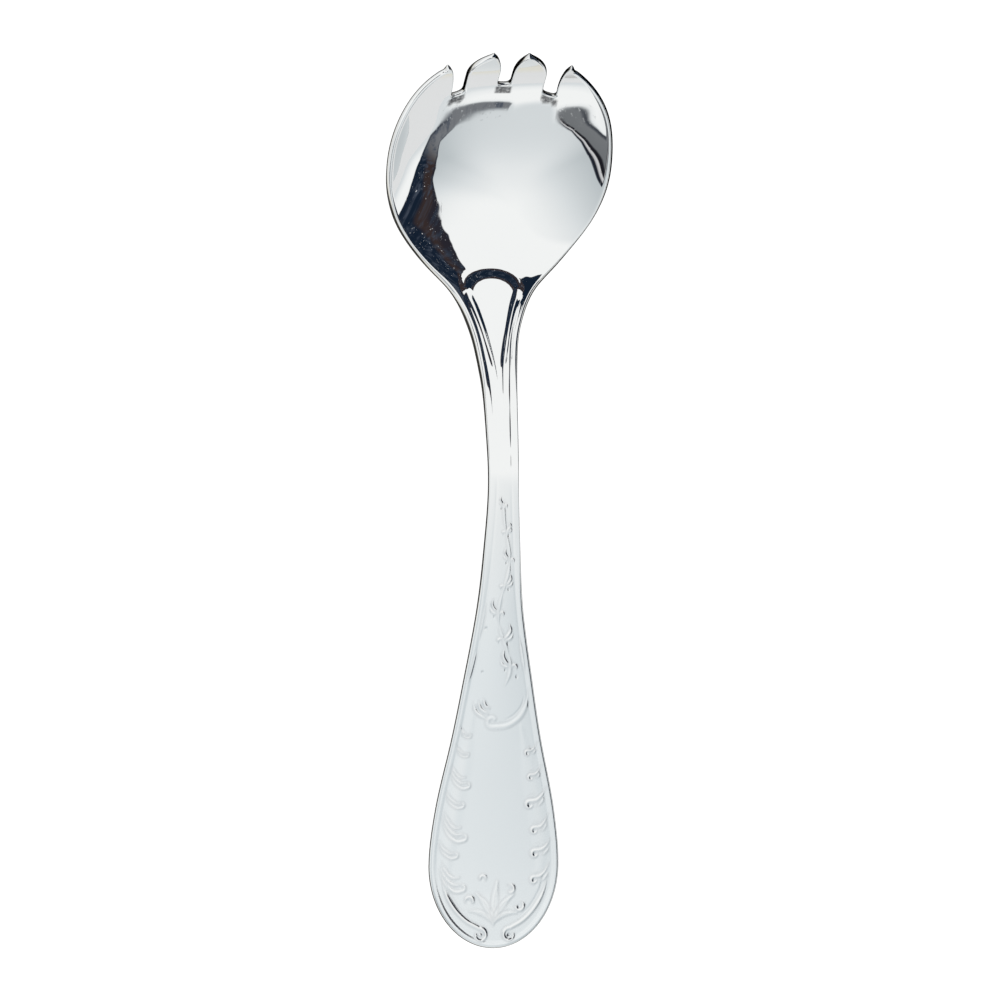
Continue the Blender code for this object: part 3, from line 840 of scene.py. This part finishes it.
def fork_mesh(sizes):
    """The whole fork: face, underside and edges as grids of (x, station), welded into one closed skin."""
    shape = ForkShape(sizes)
    builder = Builder()
    half_slot = sizes.slot_width / 2
    side = slot_root(SLOT_SPACING, LENGTH - SIDE_SLOT_DEPTH, SIDE_ROOT_SLANT, sizes.slot_width)
    side_normals = outline_normals(side, 1)
    side_border = side - side_normals * shape.edge_reach(side[:, 1])[:, None]
    lowest = int(np.argmin(side_border[:, 1]))
    outer_root = side[lowest::-1]
    inner_root = side[lowest:]
    shank = shank_edge(shape, side_border[lowest, 1])

    # The shank, up to the roots of the side slots.
    share = side_border[lowest, 0] / shank.inner[-1, 0]
    centre_line = shank.inner * np.array([0, 1])
    split_line = shank.inner * np.array([share, 1])
    centre_line[-1, 1] = split_line[-1, 1] = side_border[lowest, 1]
    inner_columns = int(round(HALF_COLUMNS * share))
    outer_columns = HALF_COLUMNS - inner_columns
    inner_under = int(round(HALF_UNDER_COLUMNS * share))
    outer_under = HALF_UNDER_COLUMNS - inner_under
    add_sheet(builder, shape, centre_line, split_line, inner_columns, inner_under)
    add_sheet(builder, shape, split_line, shank.inner, outer_columns, outer_under)
    add_band(builder, shape, shank, False)
    split = split_line[-1]
    split_normal = side_normals[lowest]

    # The outer tine: the wall of the side slot on its left, the rim on its right.
    outer_start = outer_root[-1, 1]
    share = (1 - (OUTER_TIP_OFFSET / (sizes.bowl_width / 2)) ** FRONT_POWER) ** (1 / FRONT_POWER)
    outer_tip = BOWL + (LENGTH - BOWL) * share - TIP_SETBACK
    inner_tip = LENGTH - TIP_SETBACK
    tip = (OUTER_TIP_OFFSET, outer_tip)
    wall = tine_wall(SLOT_SPACING + half_slot, outer_start, tip, OUTER_TIP_ROUND, OUTER_TIP_TURN)
    left, right, half = closed_tine(
        wall, shape.half_width, outer_start, outer_tip, OUTER_TIP_CLOSING, OUTER_TINE_ROWS,
    )
    root = even_steps(outer_root, ROOT_ROWS)
    left = np.concatenate((root, left[1:]))
    rim_stations = np.linspace(shank.outline[-1, 1], outer_start, ROOT_ROWS)
    rim = np.stack([shape.half_width(rim_stations), rim_stations], axis=-1)
    right = np.concatenate((rim, right[1:]))
    left_edge = tine_edge(shape, left, -1, half, (split_normal, split))
    right_edge = tine_edge(shape, right, 1, half, (shank.normals[-1], shank.inner[-1]), rim=True)
    add_sheet(builder, shape, left_edge.inner, right_edge.inner, outer_columns, outer_under)
    add_band(builder, shape, left_edge, True)
    add_band(builder, shape, right_edge, False)

    # The inner tine: the centre line and then the middle slot on its left, the side slot on its right.
    inner_start = inner_root[-1, 1]
    middle = slot_root(0, LENGTH - MIDDLE_SLOT_DEPTH, 0, sizes.slot_width)
    middle_root = middle[len(middle) // 2::-1]
    middle_border = middle_root[0, 1] - shape.edge_reach(middle_root[0, 1])
    middle_start = middle_root[-1, 1]
    tip = (INNER_TIP_OFFSET, inner_tip)
    left_wall = tine_wall(half_slot, inner_start, tip, INNER_TIP_ROUND, INNER_TIP_TURN)
    right_wall = tine_wall(SLOT_SPACING - half_slot, inner_start, tip, OUTER_TIP_ROUND, INNER_TIP_TURN)
    left, right, half = closed_tine(
        left_wall, right_wall, middle_start, inner_tip - INNER_TIP_LOSS, INNER_TIP_CLOSING, INNER_TINE_ROWS,
    )
    between = np.linspace(inner_start, middle_border, 4)[1:]
    beside = np.linspace(middle_border, middle_start, MIDDLE_ROOT_ROWS)
    wall_part = np.concatenate((between, beside[1:-1]))
    wall_part = np.stack([right_wall(wall_part), wall_part], axis=-1)
    right = np.concatenate((even_steps(inner_root, ROOT_ROWS), wall_part, right))
    left = np.concatenate((even_steps(middle_root, MIDDLE_ROOT_ROWS), left[1:]))
    right_edge = tine_edge(shape, right, 1, half, (split_normal, split))
    left_edge = tine_edge(shape, left, -1, half, ((0, 1), (0, middle_border)))
    line = np.concatenate((np.linspace(split[1], inner_start, ROOT_ROWS), between))
    line = np.stack([np.zeros_like(line), line], axis=-1)
    left_line = np.concatenate((line[:-1], left_edge.inner))
    add_sheet(builder, shape, left_line, right_edge.inner, inner_columns, inner_under)
    add_band(builder, shape, right_edge, False)
    add_band(builder, shape, left_edge, True)
    mesh = builder.mesh("serving_fork_steel")
    mark_relief(mesh, shape)
    return mesh


def link_piece(name, mesh, material):
    """Links a piece made in place, with its object at the origin."""
    made = bpy.data.objects.new(name, mesh)
    bpy.context.scene.collection.objects.link(made)
    made.data.materials.append(material)
    return made


def size(name, value, low, high, words):
    """A length in metres between two limits."""
    limits = {"min": low, "max": high}
    return FloatProperty(name=name, description=words, default=value, unit="LENGTH", precision=5, **limits)


def amount(name, value, words):
    """A share from 0 to 1."""
    return FloatProperty(name=name, description=words, default=value, min=0, max=1)


def angle(name, degrees, words):
    return FloatProperty(name=name, description=words, default=math.radians(degrees), subtype="ANGLE")


def tint(name, value, words):
    return FloatVectorProperty(name=name, description=words, default=value, min=0, max=1, subtype="COLOR")


class ForkSizes(bpy.types.PropertyGroup):
    """Sizes of the fork, in metres."""

    bowl_width: size("Bowl width", 0.0625, 0.05, 0.07, "Greatest width of the bowl, over its rim")
    handle_width: size("Handle width", 0.0360, 0.02, 0.05, "Greatest width of the handle")
    stem_width: size("Stem width", 0.0080, 0.005, 0.012, "Least width of the stem")
    neck_width: size("Neck width", 0.0131, 0.009, 0.02, "Width where the shoulders begin")
    end_thickness: size("End thickness", 0.0022, 0.001, 0.004, "Metal at the end of the handle")
    handle_thickness: size("Handle thickness", 0.0026, 0.001, 0.005, "Metal at the middle of the handle")
    stem_thickness: size("Stem thickness", 0.0036, 0.002, 0.006, "Metal at the arch of the stem")
    bowl_thickness: size("Bowl thickness", 0.0027, 0.001, 0.004, "Metal at the bottom of the bowl")
    tine_thickness: size("Tine thickness", 0.0019, 0.001, 0.004, "Metal at the tips of the tines")
    handle_rise: size("Handle rise", 0.0010, 0, 0.005, "Rise from the handle's end to its widest place")
    stem_height: size("Stem height", 0.0153, 0.005, 0.03, "Height of the arch of the stem")
    neck_height: size("Neck height", 0.0082, 0.004, 0.02, "Height of the neck")
    tip_height: size("Tip height", 0.0308, 0.015, 0.04, "Height of the tips of the tines")
    crown: size("Crown", 0.0004, 0, 0.001, "How far the handle's face falls from its middle to its edge")
    neck_dish: size("Neck dish", 0.0004, 0, 0.003, "How far the edge stands above the middle at the neck")
    bowl_dish: size("Bowl dish", 0.0134, 0.005, 0.02, "How far the rim stands above the middle of the bowl")
    tip_dish: size("Tip dish", 0.0130, 0, 0.02, "The same, carried on to the tips")
    slot_width: size("Slot width", 0.0037, 0.002, 0.006, "Width of the slots between the tines")
    handle_round: size("Handle edge", 0.0009, 0.0002, 0.002, "How far in the handle's edge is rounded")
    head_round: size("Head edge", 0.00035, 0.0001, 0.001, "How far in the head's cut edges are rounded")
    bead_height: size("Bead height", 0.00025, 0, 0.001, "Height of the bead along the handle's edges")
    groove_place: size("Groove place", 0.0021, 0.001, 0.004, "Distance of the border groove from the outline")
    groove_depth: size("Groove depth", 0.00006, 0, 0.0005, "Depth of the border groove")
    groove_width: size("Groove width", 0.00030, 0.0001, 0.001, "Half the width of the border groove")


class ForkFinish(bpy.types.PropertyGroup):
    """Colours and finish of the steel."""

    # On the handle the steel colour of the ridges is a painted highlight, and the darker satin colour is
    # painted shade for the dimmer reflection of the rough finish.
    steel: tint("Steel", (0.89, 0.895, 0.895), "Colour of the clean metal")
    satin: tint("Satin", (0.815, 0.845, 0.860), "Colour of the satin ground of the handle")
    # The colour of the hollows is painted shade beside the ridges and in the grooves and dots.
    hollow_shade: tint("Shade_in_hollows", (0.42, 0.42, 0.44), "Colour of the metal in the hollows")
    residue: tint("Residue", (0.15, 0.15, 0.155), "Colour of the polish left below the slots")
    hollow_dark: amount("Hollow darkness", 0.22, "How much of the tarnish shows in the hollows")
    mirror_rough: amount("Polish roughness", 0.018, "Roughness of the head and the stem")
    satin_rough: amount("Satin roughness", 0.15, "What the satin finish of the handle adds to it")
    satin_from: size("Satin up to", -0.045, -0.12, 0.12, "Place along the fork where the full satin ends")
    satin_to: size("Polish from", 0.005, -0.12, 0.12, "Place along the fork where the full polish begins")


class StageSettings(bpy.types.PropertyGroup):
    """Camera and light."""

    lean: angle("Lean", 14.5, "Angle of the view from the vertical, towards -X")
    roll: angle("Roll", 0.47, "Turn of the view about its own line")
    view_width: size("View width", 0.26963, 0.1, 1, "Width of the picture at the floor")
    aim_side: size("Aim to the side", 0.00302, -0.1, 0.1, "The view's middle, from the fork's middle, across")
    aim_ahead: size("Aim ahead", 0.00072, -0.1, 0.1, "The view's middle, from the fork's middle, along")
    lens: FloatProperty(name="Lens", description="Focal length in millimetres", default=300, min=50, max=600)


class Graph:
    """Adds nodes to a tree. A socket given as an input is linked, anything else is set on the input."""

    def __init__(self, tree):
        self.tree = tree
        tree.nodes.clear()

    def add(self, kind, inputs=None, **settings):
        node = self.tree.nodes.new(kind)
        for name, value in settings.items():
            setattr(node, name, value)
        for key, value in (inputs or {}).items():
            if isinstance(value, bpy.types.NodeSocket):
                self.tree.links.new(value, node.inputs[key])
            else:
                node.inputs[key].default_value = value
        return node

    def math(self, operation, *values):
        return self.add("ShaderNodeMath", dict(enumerate(values)), operation=operation).outputs[0]

    def smooth(self, value, low, high, start=0.0, end=1.0):
        """start below low, end above high, and a smooth step between."""
        inputs = {"Value": value, "From Min": low, "From Max": high, "To Min": start, "To Max": end}
        return self.add("ShaderNodeMapRange", inputs, interpolation_type="SMOOTHSTEP").outputs[0]

    def mix(self, factor, first, second):
        """Mixes two colours."""
        inputs = {"Factor": factor, "A": first, "B": second}
        return self.add("ShaderNodeMix", inputs, data_type="RGBA").outputs["Result"]

    def blend(self, factor, first, second):
        """Mixes two values."""
        return self.add("ShaderNodeMix", {"Factor": factor, "A": first, "B": second}).outputs["Result"]

    def noise(self, place, scale, detail, roughness=0.5):
        inputs = {"Vector": place, "Scale": scale, "Detail": detail, "Roughness": roughness}
        return self.add("ShaderNodeTexNoise", inputs).outputs["Fac"]

    def ramp(self, value, stops):
        """Colours from stop to stop, each a (place, red, green, blue)."""
        node = self.add("ShaderNodeValToRGB", {"Fac": value})
        ends = node.color_ramp.elements
        ends[0].position, ends[1].position = stops[0][0], stops[-1][0]
        ends[0].color, ends[1].color = (*stops[0][1:], 1), (*stops[-1][1:], 1)
        for place, *colour in stops[1:-1]:
            ends.new(place).color = (*colour, 1)
        return node.outputs[0]

    def split(self, vector):
        """The x, y and z of a vector."""
        return self.add("ShaderNodeSeparateXYZ", {"Vector": vector}).outputs

    def attribute(self, name):
        return self.add("ShaderNodeAttribute", attribute_name=name).outputs["Fac"]

    def group(self, tree, **inputs):
        """The first output of a node group."""
        return self.add("ShaderNodeGroup", inputs, node_tree=tree).outputs[0]

    def curve(self, value, points):
        """Straight lines from point to point, all of them between 0 and 1."""
        node = self.add("ShaderNodeFloatCurve", {"Value": value})
        line = node.mapping.curves[0]
        line.points[0].location = points[0]
        line.points[1].location = points[-1]
        for place in points[1:-1]:
            line.points.new(*place)
        for point in line.points:
            point.handle_type = "VECTOR"
        node.mapping.update()
        return node.outputs[0]


def new_group(name, inputs, output):
    """A shader node group with a vector socket Place, float sockets for its other inputs and one output.

    Returns the graph to fill it with and what its input node puts out.
    """
    tree = bpy.data.node_groups.new(name, "ShaderNodeTree")
    for socket in inputs:
        kind = "NodeSocketVector" if socket == "Place" else "NodeSocketFloat"
        tree.interface.new_socket(socket, in_out="INPUT", socket_type=kind)
    tree.interface.new_socket(output, in_out="OUTPUT", socket_type="NodeSocketFloat")
    graph = Graph(tree)
    return graph, graph.add("NodeGroupInput").outputs


def fine_scratches_group():
    """Hairline marks of use: thin lines in three directions, in short runs. 1 on a mark, 0 beside it."""
    graph, given = new_group("fine_scratches", ("Place", "Scale"), "Mark")
    total = 0.0
    for turn, offset in ((12, 0.0), (74, 3.1), (137, 7.7)):
        turned = graph.add("ShaderNodeMapping", {
            "Vector": given["Place"], "Rotation": (0, 0, math.radians(turn)), "Location": (offset, offset, 0),
            "Scale": (1, 0.035, 1),
        })
        lines = graph.noise(turned.outputs[0], given["Scale"], 2, 0.6)
        total = graph.math("MAXIMUM", graph.smooth(lines, 0.66, 0.72), total)
    graph.add("NodeGroupOutput", {"Mark": total})
    return graph.tree


def satin_grain_group():
    """Fine even grain left by the blasted or brushed finish of the handle, about 0 in the mean."""
    graph, given = new_group("satin_grain", ("Place", "Scale"), "Grain")
    fine = graph.noise(given["Place"], given["Scale"], 3, 0.7)
    graph.add("NodeGroupOutput", {"Grain": graph.math("SUBTRACT", fine, 0.5)})
    return graph.tree


def handling_group():
    """Broad, faint unevenness of a piece that has been handled and wiped, about 0 in the mean."""
    graph, given = new_group("handling", ("Place",), "Cloud")
    broad = graph.noise(given["Place"], CLOUD_SCALE, 4, 0.55)
    graph.add("NodeGroupOutput", {"Cloud": graph.math("SUBTRACT", broad, 0.5)})
    return graph.tree


def steel_material(finish):
    """Mirror polish on the head that eases into satin on the handle, with bright ridges as a painted
    highlight, a darker satin ground and dark hollows as painted shade.
    """
    material = bpy.data.materials.new("fork_steel")
    material.use_nodes = True
    graph = Graph(material.node_tree)
    place = graph.add("ShaderNodeTexCoord").outputs["Object"]
    along = graph.split(place)[1]
    marks = graph.group(fine_scratches_group(), Place=place, Scale=SCRATCH_SCALE)
    grain = graph.group(satin_grain_group(), Place=place, Scale=GRAIN_SCALE)
    cloud = graph.group(handling_group(), Place=place)
    hollow = graph.attribute("hollow")
    ridge = graph.smooth(graph.attribute("ridge"), *POLISHED_RIDGE)
    satin = graph.smooth(along, finish.satin_from, finish.satin_to, 1.0, 0.0)
    satin_and_shade = graph.math("MULTIPLY", satin, graph.math("SUBTRACT", 1.0, ridge))
    blotches = graph.smooth(graph.noise(place, BLOTCH_SCALE, 3), 0.25, 0.60, 0.55, 1.0)
    residue = graph.math("MULTIPLY", graph.attribute("stain"), blotches)
    # Painted shade in the hollows, together with the broad uneven tone of handling.
    hollow_shade_and_cloud = graph.math("MULTIPLY", hollow, finish.hollow_dark)
    hollow_shade_and_cloud = graph.math("MULTIPLY_ADD", cloud, 0.05, hollow_shade_and_cloud)
    # Painted light: the satin ground takes a darker colour than the polish, as painted shade, and the ridges,
    # bead and walls keep the brighter steel colour, as a painted highlight. The roughness and grain are the
    # finish itself.
    colour = graph.mix(satin_and_shade, (*finish.steel, 1), (*finish.satin, 1))
    colour = graph.mix(hollow_shade_and_cloud, colour, (*finish.hollow_shade, 1))
    colour = graph.mix(residue, colour, (*finish.residue, 1))
    rough = graph.math("MULTIPLY_ADD", satin_and_shade, finish.satin_rough, finish.mirror_rough)
    deep = graph.math("MAXIMUM", hollow, residue)
    for mask, share in ((deep, HOLLOW_ROUGHNESS), (marks, SCRATCH_ROUGHNESS), (cloud, CLOUD_ROUGHNESS)):
        rough = graph.math("MULTIPLY_ADD", mask, share, rough)
    height = graph.math("MULTIPLY", graph.math("MULTIPLY", grain, satin_and_shade), GRAIN_HEIGHT)
    height = graph.math("MULTIPLY_ADD", marks, SCRATCH_HEIGHT, height)
    bump = graph.add("ShaderNodeBump", {"Height": height, "Strength": BUMP_STRENGTH, "Distance": BUMP_DEPTH})
    shader = graph.add("ShaderNodeBsdfPrincipled", {
        "Base Color": colour, "Metallic": 1.0, "Roughness": rough, "Normal": bump.outputs[0],
    })
    graph.add("ShaderNodeOutputMaterial", {"Surface": shader.outputs[0]})
    return material


def mark_relief(mesh, shape):
    """Stores on each point how bright a ridge (the polish with a painted highlight), how deep a hollow
    (painted shade) and how strong a stain it lies on.

    Side walls count as ridges, since they are polished, and so get the painted highlight too.
    """
    count = len(mesh.vertices)
    places, normals = np.empty(3 * count), np.empty(3 * count)
    mesh.vertices.foreach_get("co", places)
    mesh.vertices.foreach_get("normal", normals)
    x, station = places.reshape(-1, 3)[:, 0], places.reshape(-1, 3)[:, 1] + LENGTH / 2
    raised, hollow = shape.relief.look(x, station)
    rise = normals.reshape(-1, 3)[:, 2]
    upper = eased(rise, 0.1, 0.4)
    wall = 1.2 * (1 - eased(np.abs(rise), 0.40, 0.70))
    bead = np.clip(shape.border(x, station) / shape.sizes.bead_height, 0, 1) * 0.5
    ridge = np.maximum(np.clip(raised / FULL_RIDGE, 0, 1), bead)
    stain = shape.root_stain(x, station)
    masks = {"ridge": np.maximum(ridge * upper, wall), "hollow": hollow * upper, "stain": stain * upper}
    for name, values in masks.items():
        mesh.attributes.new(name, "FLOAT", "POINT").data.foreach_set("value", values)


class SERVINGFORK_OT_body(bpy.types.Operator):
    """Build the fork's steel body"""

    bl_idname = "servingfork.body"
    bl_label = "Fork Body"

    def execute(self, context):
        mesh = fork_mesh(context.scene.fork_sizes)
        piece = link_piece("serving_fork_steel", mesh, steel_material(context.scene.fork_finish))
        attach(piece, "root")
        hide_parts("serving_fork")
        return {"FINISHED"}


def floor_material():
    """Pale floor: white to the camera, with the object's soft shadow kept from its diffuse part.

    The metal sees it pale on the left, beside the handle and far ahead, where the light comes off it at a
    low angle, and slightly warm as that angle grows. Elsewhere the metal sees it dark, and from above it
    sees a painted contact shadow.
    """
    material = bpy.data.materials.new("floor_paint")
    material.use_nodes = True
    graph = Graph(material.node_tree)
    x, y, _ = graph.split(graph.add("ShaderNodeTexCoord").outputs["Object"])
    steepness = graph.split(graph.add("ShaderNodeNewGeometry").outputs["Incoming"])[2]
    path = graph.add("ShaderNodeLightPath")
    left = graph.math("MULTIPLY_ADD", y, 0.5, x)
    behind = graph.smooth(y, *PALE_BEHIND, 1.0, 0.0)
    near = graph.math("MAXIMUM", behind, graph.smooth(left, *PALE_LEFT, 1.0, 0.0))
    far = graph.smooth(y, *PALE_AHEAD, 0.0, 0.7)
    far = graph.math("MULTIPLY", far, graph.smooth(x, *PALE_AHEAD_SIDE, 1.0, 0.0))
    # Painted contact shadow: seen from the metal at a steep angle, as right under the fork, the floor turns
    # dark.
    level = graph.smooth(steepness, *SHADOW_STEEPNESS, 1.0, 0.05)
    pale = graph.math("MULTIPLY", graph.math("MAXIMUM", near, far), level)
    mirrored = graph.math("MAXIMUM", path.outputs["Is Glossy Ray"], path.outputs["Is Transmission Ray"])
    strength = graph.math("MULTIPLY", mirrored, graph.math("MULTIPLY", pale, FLOOR_MIRRORED))
    strength = graph.math("ADD", strength, graph.math("MULTIPLY", path.outputs["Is Camera Ray"], FLOOR_WHITE))
    shade = graph.math("SUBTRACT", 1.0, graph.math("MULTIPLY", mirrored, graph.math("SUBTRACT", 1.0, pale)))
    paint = graph.math("MULTIPLY", shade, FLOOR_PAINT)
    grey = graph.add("ShaderNodeCombineColor", {0: paint, 1: paint, 2: paint}).outputs[0]
    diffuse = graph.add("ShaderNodeBsdfDiffuse", {"Color": grey})
    steep = graph.math("MULTIPLY", mirrored, graph.smooth(steepness, *WARM_STEEPNESS))
    warm = graph.mix(steep, WHITE, (*FLOOR_WARM, 1))
    glow = graph.add("ShaderNodeEmission", {"Color": warm, "Strength": strength})
    both = graph.add("ShaderNodeAddShader", {0: diffuse.outputs[0], 1: glow.outputs[0]})
    graph.add("ShaderNodeOutputMaterial", {"Surface": both.outputs[0]})
    return material


def studio_world():
    """A white tent about the fork, open towards a dim room, mostly on the right and ahead of the tines.

    Directions are a turn (0 and 1 ahead, 0.5 behind at the handle's end, 0.75 to the right) and a tilt
    (0 straight up, 1 level). The room shows between two edges, given as tilts over the turn.
    """
    world = bpy.data.worlds.new("studio")
    world.use_nodes = True
    graph = Graph(world.node_tree)
    direction = graph.add("ShaderNodeTexCoord").outputs["Generated"]
    x, y, z = graph.split(direction)
    angle = graph.math("ARCTAN2", x, graph.math("MULTIPLY", y, -1.0))
    back = graph.math("COSINE", angle)
    turn = graph.math("MULTIPLY_ADD", angle, 1 / (2 * math.pi), 0.5)
    tilt = graph.math("DIVIDE", graph.math("ARCCOSINE", z), math.pi / 2)
    uneven = graph.math("MULTIPLY", graph.math("SUBTRACT", graph.noise(direction, 12, 2), 0.5), 0.002)
    bent = graph.math("ADD", tilt, uneven)
    inner = graph.curve(turn, ROOM_INNER_EDGE)
    outer = graph.curve(turn, ROOM_OUTER_EDGE)
    within = graph.math("SUBTRACT", bent, inner)
    beyond = graph.math("SUBTRACT", bent, outer)
    soft = (-ROOM_SOFTNESS, ROOM_SOFTNESS)
    room = graph.math("MULTIPLY", graph.smooth(within, *soft), graph.smooth(beyond, *soft, 1.0, 0.0))
    # The tent: its back and its sides, its even front, and its foot below the room.
    sides, middle = graph.curve(tilt, TENT_SIDES), graph.curve(tilt, TENT_MIDDLE)
    strength = graph.blend(graph.smooth(back, 0.70, 0.98), sides, middle)
    behind = graph.math("MULTIPLY_ADD", graph.math("SINE", angle), -0.25, back)
    strength = graph.blend(graph.smooth(behind, -0.35, 0.25), 1.0, strength)
    strength = graph.blend(graph.smooth(beyond, -0.01, 0.01), strength, graph.curve(tilt, TENT_FOOT))
    tent = graph.ramp(strength, TENT_COLOURS)
    # The room: brown and navy on the right, grey behind, streaks on the left, navy from there to ahead.
    share = graph.math("DIVIDE", within, graph.math("SUBTRACT", outer, inner))
    depth = graph.math("ADD", graph.math("DIVIDE", within, 0.22), uneven)
    dim = graph.mix(graph.smooth(depth, 0.40, 0.62), (*ROOM_BROWN, 1), (*ROOM_NAVY, 1))
    dim = graph.mix(graph.smooth(turn, *GREY_TO), (*ROOM_GREY, 1), dim)
    dim = graph.mix(graph.smooth(graph.noise(direction, 14, 5, 0.65), 0.46, 0.72), dim, (*ROOM_PATCH, 1))
    flecks = graph.smooth(graph.noise(direction, 60, 1), 0.72, 0.75)
    flecks = graph.math("MULTIPLY", flecks, graph.smooth(turn, *FLECKS_FROM))
    dim = graph.mix(flecks, dim, (*ROOM_FLECK, 1))
    dim = graph.mix(graph.smooth(turn, *STREAKS_TO), graph.ramp(share, STREAK_COLOURS), dim)
    dim = graph.mix(graph.smooth(turn, *NAVY_TO), (*ROOM_NAVY, 1), dim)
    # Along both of its edges it darkens to navy.
    shaded = graph.smooth(graph.math("ABSOLUTE", graph.math("SUBTRACT", share, 0.5)), 0.36, 0.44)
    dim = graph.mix(graph.math("MULTIPLY", shaded, 0.55), dim, (*ROOM_NAVY, 1))
    seen = graph.mix(room, tent, dim)
    seen = graph.mix(graph.add("ShaderNodeLightPath").outputs["Is Camera Ray"], seen, WHITE)
    background = graph.add("ShaderNodeBackground", {"Color": seen})
    graph.add("ShaderNodeOutputWorld", {"Surface": background.outputs[0]})
    return world


def add_camera(stage):
    """Looks down at the fork from above its -X side. The view's right and up follow its lean and its roll."""
    back = Vector((-math.sin(stage.lean), 0, math.cos(stage.lean)))
    level = Vector((math.cos(stage.lean), 0, math.sin(stage.lean)))
    ahead = Vector((0, 1, 0))
    right = level * math.cos(stage.roll) - ahead * math.sin(stage.roll)
    up = ahead * math.cos(stage.roll) + level * math.sin(stage.roll)
    data = bpy.data.cameras.new("view")
    data.lens = stage.lens
    distance = stage.view_width * stage.lens / data.sensor_width
    data.clip_start = distance / 10
    data.clip_end = distance * 10
    camera = bpy.data.objects.new("view", data)
    place = back * distance + level * stage.aim_side + ahead * stage.aim_ahead
    camera.matrix_world = Matrix.Translation(place) @ Matrix((right, up, back)).transposed().to_4x4()
    bpy.context.scene.collection.objects.link(camera)
    bpy.context.scene.camera = camera


class SERVINGFORK_OT_stage(bpy.types.Operator):
    """Build the floor, the light and the camera"""

    bl_idname = "servingfork.stage"
    bl_label = "Stage"

    def execute(self, context):
        corners = [(x * FLOOR_HALF, y * FLOOR_HALF, 0) for x, y in ((-1, -1), (1, -1), (1, 1), (-1, 1))]
        mesh = bpy.data.meshes.new("floor")
        mesh.from_pydata(corners, [], [(0, 1, 2, 3)])
        floor = link_piece("floor", mesh, floor_material())
        context.scene.world = studio_world()
        context.scene.view_settings.view_transform = "Standard"
        add_camera(context.scene.fork_stage)
        return {"FINISHED"}


class SERVINGFORK_PT_panel(bpy.types.Panel):
    """The fork's steps and sizes"""

    bl_idname = "SERVINGFORK_PT_panel"
    bl_label = "Serving Fork"
    bl_space_type = "VIEW_3D"
    bl_region_type = "UI"
    bl_category = "Serving Fork"

    def draw(self, context):
        for operator in (SERVINGFORK_OT_body, SERVINGFORK_OT_stage):
            self.layout.operator(operator.bl_idname)
        for group in (context.scene.fork_sizes, context.scene.fork_finish, context.scene.fork_stage):
            column = self.layout.column()
            for name in group.bl_rna.properties.keys():
                if name not in ("rna_type", "name"):
                    column.prop(group, name)


CLASSES = (
    ForkSizes, ForkFinish, StageSettings, SERVINGFORK_OT_body, SERVINGFORK_OT_stage, SERVINGFORK_PT_panel,
)


def register():
    for cls in CLASSES:
        bpy.utils.register_class(cls)
    bpy.types.Scene.fork_sizes = PointerProperty(type=ForkSizes)
    bpy.types.Scene.fork_finish = PointerProperty(type=ForkFinish)
    bpy.types.Scene.fork_stage = PointerProperty(type=StageSettings)


def unregister():
    del bpy.types.Scene.fork_stage
    del bpy.types.Scene.fork_finish
    del bpy.types.Scene.fork_sizes
    for cls in reversed(CLASSES):
        bpy.utils.unregister_class(cls)


def main():
    register()
    bpy.ops.servingfork.body()
    bpy.ops.servingfork.stage()


if __name__ == "__main__":
    main()
